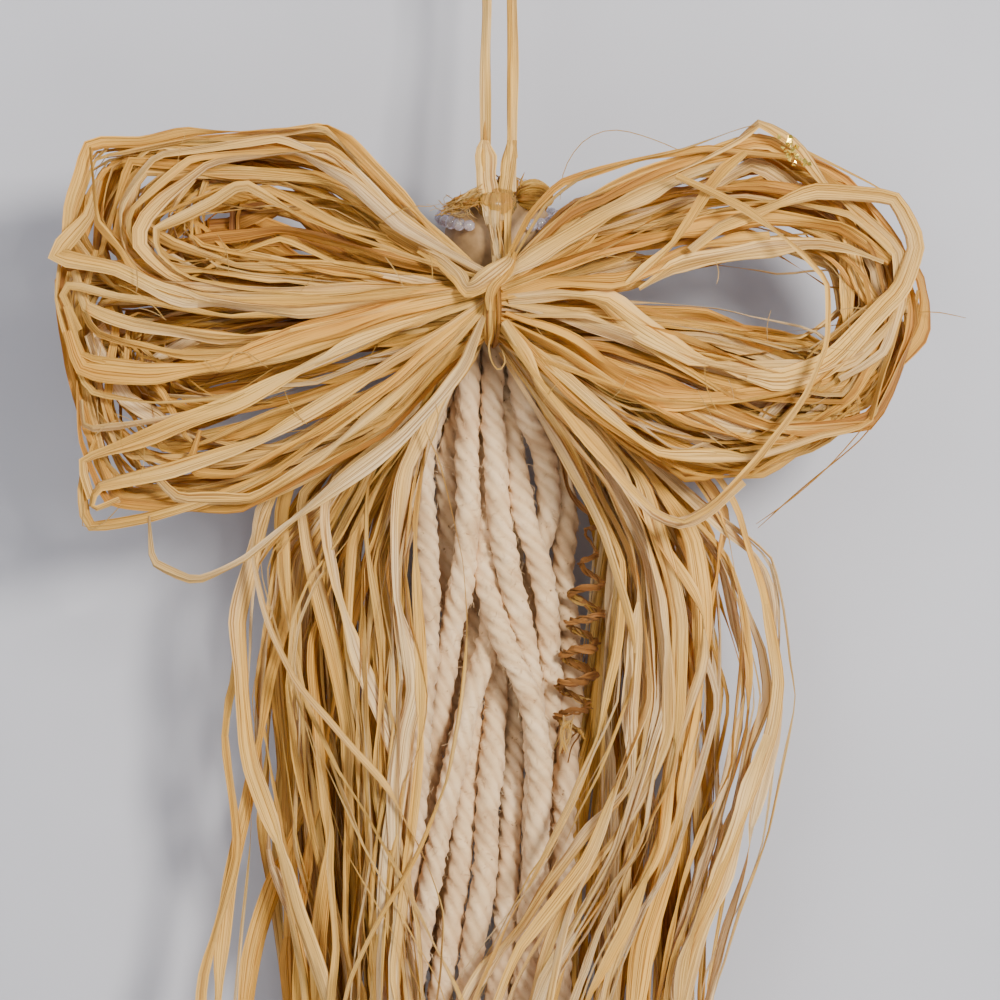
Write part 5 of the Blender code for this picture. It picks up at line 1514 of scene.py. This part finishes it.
def make_halo():
    """A tilted string of beads round the crown, open at the photographed side."""
    rise = 5.3 * MM
    tilt = math.radians(13)
    bead = 1.5 * MM
    plane = rise * math.cos(tilt)
    radius = math.sqrt(HEAD_RADIUS ** 2 - plane ** 2) + GAP + bead * 1.15
    middle = Vector((0, HEAD_Y - plane * math.sin(tilt), -HEAD_DROP + plane * math.cos(tilt)))
    turn = Matrix.Rotation(tilt, 3, 'X')
    start = math.radians(-63)
    sweep = math.radians(309)
    count = round(sweep * radius / (2 * bead))
    places = []
    for k in range(count):
        angle = start + sweep * (k + 0.5) / count
        places.append(middle + turn @ Vector((math.cos(angle), math.sin(angle), 0)) * radius)
    mesh = bpy.data.meshes.new("bead_places")
    mesh.from_pydata(places, [], [])
    material = plain_material("pearly_glass", Roughness=0.12)
    shader = material.node_tree.nodes["Principled BSDF"]
    shader.inputs["Base Color"].default_value = (0.80, 0.74, 0.80, 1.0)
    shader.inputs["Transmission Weight"].default_value = 0.75
    shader.inputs["Coat Weight"].default_value = 0.8
    shader.inputs["Thin Film Thickness"].default_value = 430.0
    item = grow("halo_beads_string", mesh, bead_tree(), Radius=bead, Material=material)
    declare(item, ("halo_beads",))


# Tendril, bundle and foil

# Tendril: turns of the coil and points on each turn, and the coil's top place in millimetres
COIL_STEPS = 96
COIL_POINTS = 14
COIL_TOP = (23.4, -5.5, -164.6)


def coil(share, angle, wider, higher):
    """A place on the tendril's coil, a share of the way down and at an angle round it."""
    uneven = 1 + 0.25 * noise.noise(Vector((share * 9, 0.3, 5)))
    size = (1.7 + 2.3 * ease(share, 0.1, 0.4)) * uneven + wider
    drift = 1.2 * noise.noise(Vector((share * 5, 1, 8)))
    x, y, z = COIL_TOP
    return Vector((x - 6.2 * share + drift + size * math.cos(angle), y - size * 0.85 * math.sin(angle),
                   z - 51.0 * share - 0.7 * math.cos(angle) + higher)) * MM


def from_coil(i, place):
    return Vector((place.x - 20.3 * MM, place.y + 5.5 * MM, 0)).normalized()


def tendril_cord():
    """Three brown strands twisted round each other, from the yarn down the coil to its loose end."""
    strips = []
    for k in range(3):
        points = [Vector((12.2, -7.2 - 0.3 * k, -134.0)) * MM, Vector((14.5 + 0.4 * k, -6.0, -148)) * MM,
                  Vector((17.5, -4, -159)) * MM]
        for i in range(COIL_STEPS + 1):
            share = i / COIL_STEPS
            angle = 2 * math.pi * i / COIL_POINTS
            thick = 0.25 + 0.45 * ease(share, 0.2, 0.5)
            twist = 2.6 * angle + 2 * math.pi * k / 3
            points.append(coil(share, angle, thick * math.cos(twist), thick * math.sin(twist)))
        tail = points[-1]
        points.append(tail + Vector((-2.0 - 1.2 * k, -0.5, -3)) * MM)
        points.append(tail + Vector((-3.0 - 1.5 * k, -0.5, -7 + k)) * MM)
        strips.append(strip(points, (1.6 - 0.25 * k) * MM, 0.9 - 0.1 * k, 0.3 * k, 0.8, 0.0, step=1.3 * MM,
                            tips=(0.3, 0.4), facing=from_coil, turns=2.0))
    return strips


def tendril_frays():
    """Pale fibres that stand out from the coil, and a brush of them at its end."""
    strips = []
    for _ in range(COIL_FRAYS):
        begin = rng.uniform(0.25, 0.95)
        angle = math.pi * (1.0 + 2 * round(begin * COIL_STEPS / COIL_POINTS)) + rng.uniform(-0.6, 0.2)
        begin = angle * COIL_POINTS / (2 * math.pi) / COIL_STEPS
        points = []
        for i in range(6):
            turn = angle + rng.uniform(0.5, 0.62) * i
            share = begin + 0.5 * i / 6 * COIL_POINTS / COIL_STEPS
            points.append(coil(share, turn, rng.uniform(-0.9, 0.7), rng.uniform(-1.1, 0.6)))
        strips.append(strand(points, (0.2, 0.3, 0.5, 0.8), (0.2, 0.6), 1.2, (0.5, 0.3)))
    for k in range(BRUSH_FRAYS):
        points = [spot(rng.uniform(562, 576), rng.uniform(712, 724), -10 - 0.1 * k),
                  spot(rng.uniform(560, 572), rng.uniform(728, 738), -10.5),
                  spot(rng.uniform(553, 572), rng.uniform(742, 756), -10)]
        strips.append(strand(points, (0.15, 0.3, 0.5), (0.1, 0.5), 0.9, (0.6, 0.3), step=1.4 * MM))
    return strips


def make_tendril():
    cord = ribbons("curled_tendril_cord", tendril_cord(), BROWN, sides=8, flatness=0.35, crease=0.5)
    frays = ribbons("curled_tendril_frays", tendril_frays(), RAFFIA, sides=5, flatness=0.4, crease=0.3)
    declare(join("curled_tendril_strands", cord, frays), ("curled_tendril",))


CUFF = Vector((-48.2, 16.5, -228.0))


def make_bundle():
    route = [Vector((-16, 8, -126)), Vector((-33, 13, -160)), Vector((-45, 16, -195)), CUFF,
             Vector((-47, 16, -262)), Vector((-43, 15, -300))]
    strips = []
    for k in range(BUNDLE_STRIPS):
        angle = 2.4 * k
        size = 1.9 * math.sqrt((k + 0.5) / BUNDLE_STRIPS)
        points = []
        for i, p in enumerate(route):
            points.append((p + Vector((math.cos(angle + i * 0.4), math.sin(angle + i * 0.4), 0)) * size) * MM)
        strips.append(strip(points, rng.uniform(1.1, 1.8) * MM, rng.uniform(0.75, 1.0), angle, 0.6, 0.0,
                            step=4.0 * MM, tips=(0.5, 0.5)))
    bundle = ribbons("bound_bundle_strips", strips, RAFFIA, sides=6, flatness=0.3, crease=0.4)
    declare(bundle, ("bound_bundle",))


def from_cuff(i, place):
    return Vector((place.x - CUFF.x * MM, place.y - CUFF.y * MM, 0)).normalized()


def make_cuff():
    """Turns of golden raffia round the bundle."""
    strips = []
    for k in range(CUFF_TURNS):
        high = 4.4 - 1.1 * k
        points = []
        for i in range(13):
            angle = 2 * math.pi * i / 12 + k
            size = 3.7 + 0.25 * math.sin(3 * angle + k)
            points.append((CUFF + Vector((size * math.cos(angle), size * math.sin(angle), high))) * MM)
        strips.append(strip(points, 1.9 * MM, rng.uniform(0.45, 0.65), 0.2, 0.4, 0.0, step=1.6 * MM,
                            tips=(1, 1), facing=from_cuff))
    cuff = ribbons("bundle_cuff_strips", strips, RAFFIA, sides=8, flatness=0.25, crease=0.4)
    declare(cuff, ("bundle_cuff",))


def make_foil():
    """A sprig of small bent foil bits on the right wing."""
    bm = bmesh.new()
    tilt = Vector((0.62, 0, -0.78))
    for _ in range(FOIL_BITS):
        share = rng.uniform(-0.5, 0.5)
        centre = Vector((69.0, -36.4, -79.2)) * MM + tilt * 8.4 * MM * share
        centre += Vector((rng.uniform(-1.5, 1.5), rng.uniform(-1.0, 1.4), rng.uniform(-1.3, 1.3))) * MM
        size = rng.uniform(0.5, 1.2) * MM
        turn = Matrix.Rotation(rng.uniform(0, 6.28), 3, 'Y') @ Matrix.Rotation(rng.uniform(-1.1, 1.1), 3, 'X')
        shape = Matrix.Diagonal((size, 0.08 * MM, size * rng.uniform(0.5, 1.3), 1.0))
        bmesh.ops.create_cube(bm, size=1.0, matrix=Matrix.Translation(centre) @ turn.to_4x4() @ shape)
    for vert in bm.verts:
        vert.co += Vector((rng.uniform(-0.2, 0.2), rng.uniform(-0.15, 0.15), rng.uniform(-0.2, 0.2))) * MM
    gold = plain_material("gold_foil", Roughness=0.18, Metallic=1.0)
    gold.node_tree.nodes["Principled BSDF"].inputs["Base Color"].default_value = (0.95, 0.66, 0.12, 1.0)
    declare(body("foil_sprig_bits", bm, gold, smooth=False), ("foil_sprig",))


# Stage, light and camera

def plane(name, size, location, rotation, material):
    bm = bmesh.new()
    bmesh.ops.create_grid(bm, x_segments=1, y_segments=1, size=size)
    item = body(name, bm, material, smooth=False)
    item.location = location
    item.rotation_euler = rotation


def make_stage():
    wall = grained_material("wall_paint", (0.463, 0.468, 0.505), (0.50, 0.505, 0.545), 12.0, 0.8, 0.12)
    tree = wall.node_tree
    clear = make_node(tree, 'ShaderNodeBsdfTransparent')
    geometry = make_node(tree, 'ShaderNodeNewGeometry')
    blend = make_node(tree, 'ShaderNodeMixShader', {
        0: geometry.outputs["Backfacing"], 1: tree.nodes["Principled BSDF"].outputs[0], 2: clear.outputs[0]})
    tree.links.new(blend.outputs[0], tree.nodes["Material Output"].inputs["Surface"])
    plane("stage_wall", 1.6, (0, 27 * MM, -0.1), (math.radians(90), 0, 0), wall)
    floor = plain_material("pale_floor", Roughness=0.7)
    floor.node_tree.nodes["Principled BSDF"].inputs["Base Color"].default_value = (0.62, 0.62, 0.63, 1.0)
    plane("stage_floor", 1.6, (0, 0, -0.42), (0, 0, 0), floor)


def lamp(name, location, target, size, power, colour):
    data = bpy.data.lights.new(name, 'AREA')
    data.shape = 'DISK'
    data.size = size
    data.energy = power
    data.color = colour
    item = link(bpy.data.objects.new(name, data))
    item.location = location
    item.rotation_euler = (Vector(target) - Vector(location)).to_track_quat('-Z', 'Y').to_euler()


def make_lights():
    lamp("key", (0.55, -1.0, 0.15), (0, 0, -0.16), 0.30, 21.3, (1.0, 0.96, 0.90))
    lamp("fill", (-0.7, -1.3, 0.3), (0, 0, -0.16), 0.9, 7.5, (1.0, 0.97, 0.94))
    world = bpy.data.worlds.new("room")
    world.use_nodes = True
    world.node_tree.nodes["Background"].inputs["Color"].default_value = (0.80, 0.86, 1.0, 1.0)
    world.node_tree.nodes["Background"].inputs["Strength"].default_value = 0.5
    bpy.context.scene.world = world


def make_camera():
    data = bpy.data.cameras.new("view")
    data.lens = LENS
    data.clip_start = 0.01
    item = link(bpy.data.objects.new("view", data))
    item.location = (VIEW_X, PLANE_Y - VIEW_DISTANCE, VIEW_Z)
    item.rotation_euler = (math.radians(90), 0, 0)
    bpy.context.scene.camera = item


RIBBONS = ribbon_tree()
CORDS = cord_tree()
LEAF = raffia_group()
RAFFIA = leaf_material("raffia_leaf", LEAF, 0.0, 0.27)
BROWN = leaf_material("raffia_brown_leaf", LEAF, 0.5, 0.05)
COTTON = cotton_material()

make_camera()
make_stage()
make_lights()
make_cords()
make_neck()
make_wings()
make_skirts()
make_knot()
make_hanger_loop()
make_hanger_tail()
make_glue()
make_ball()
make_tuft()
make_curl()
make_halo()
make_tendril()
make_bundle()
make_cuff()
make_foil()
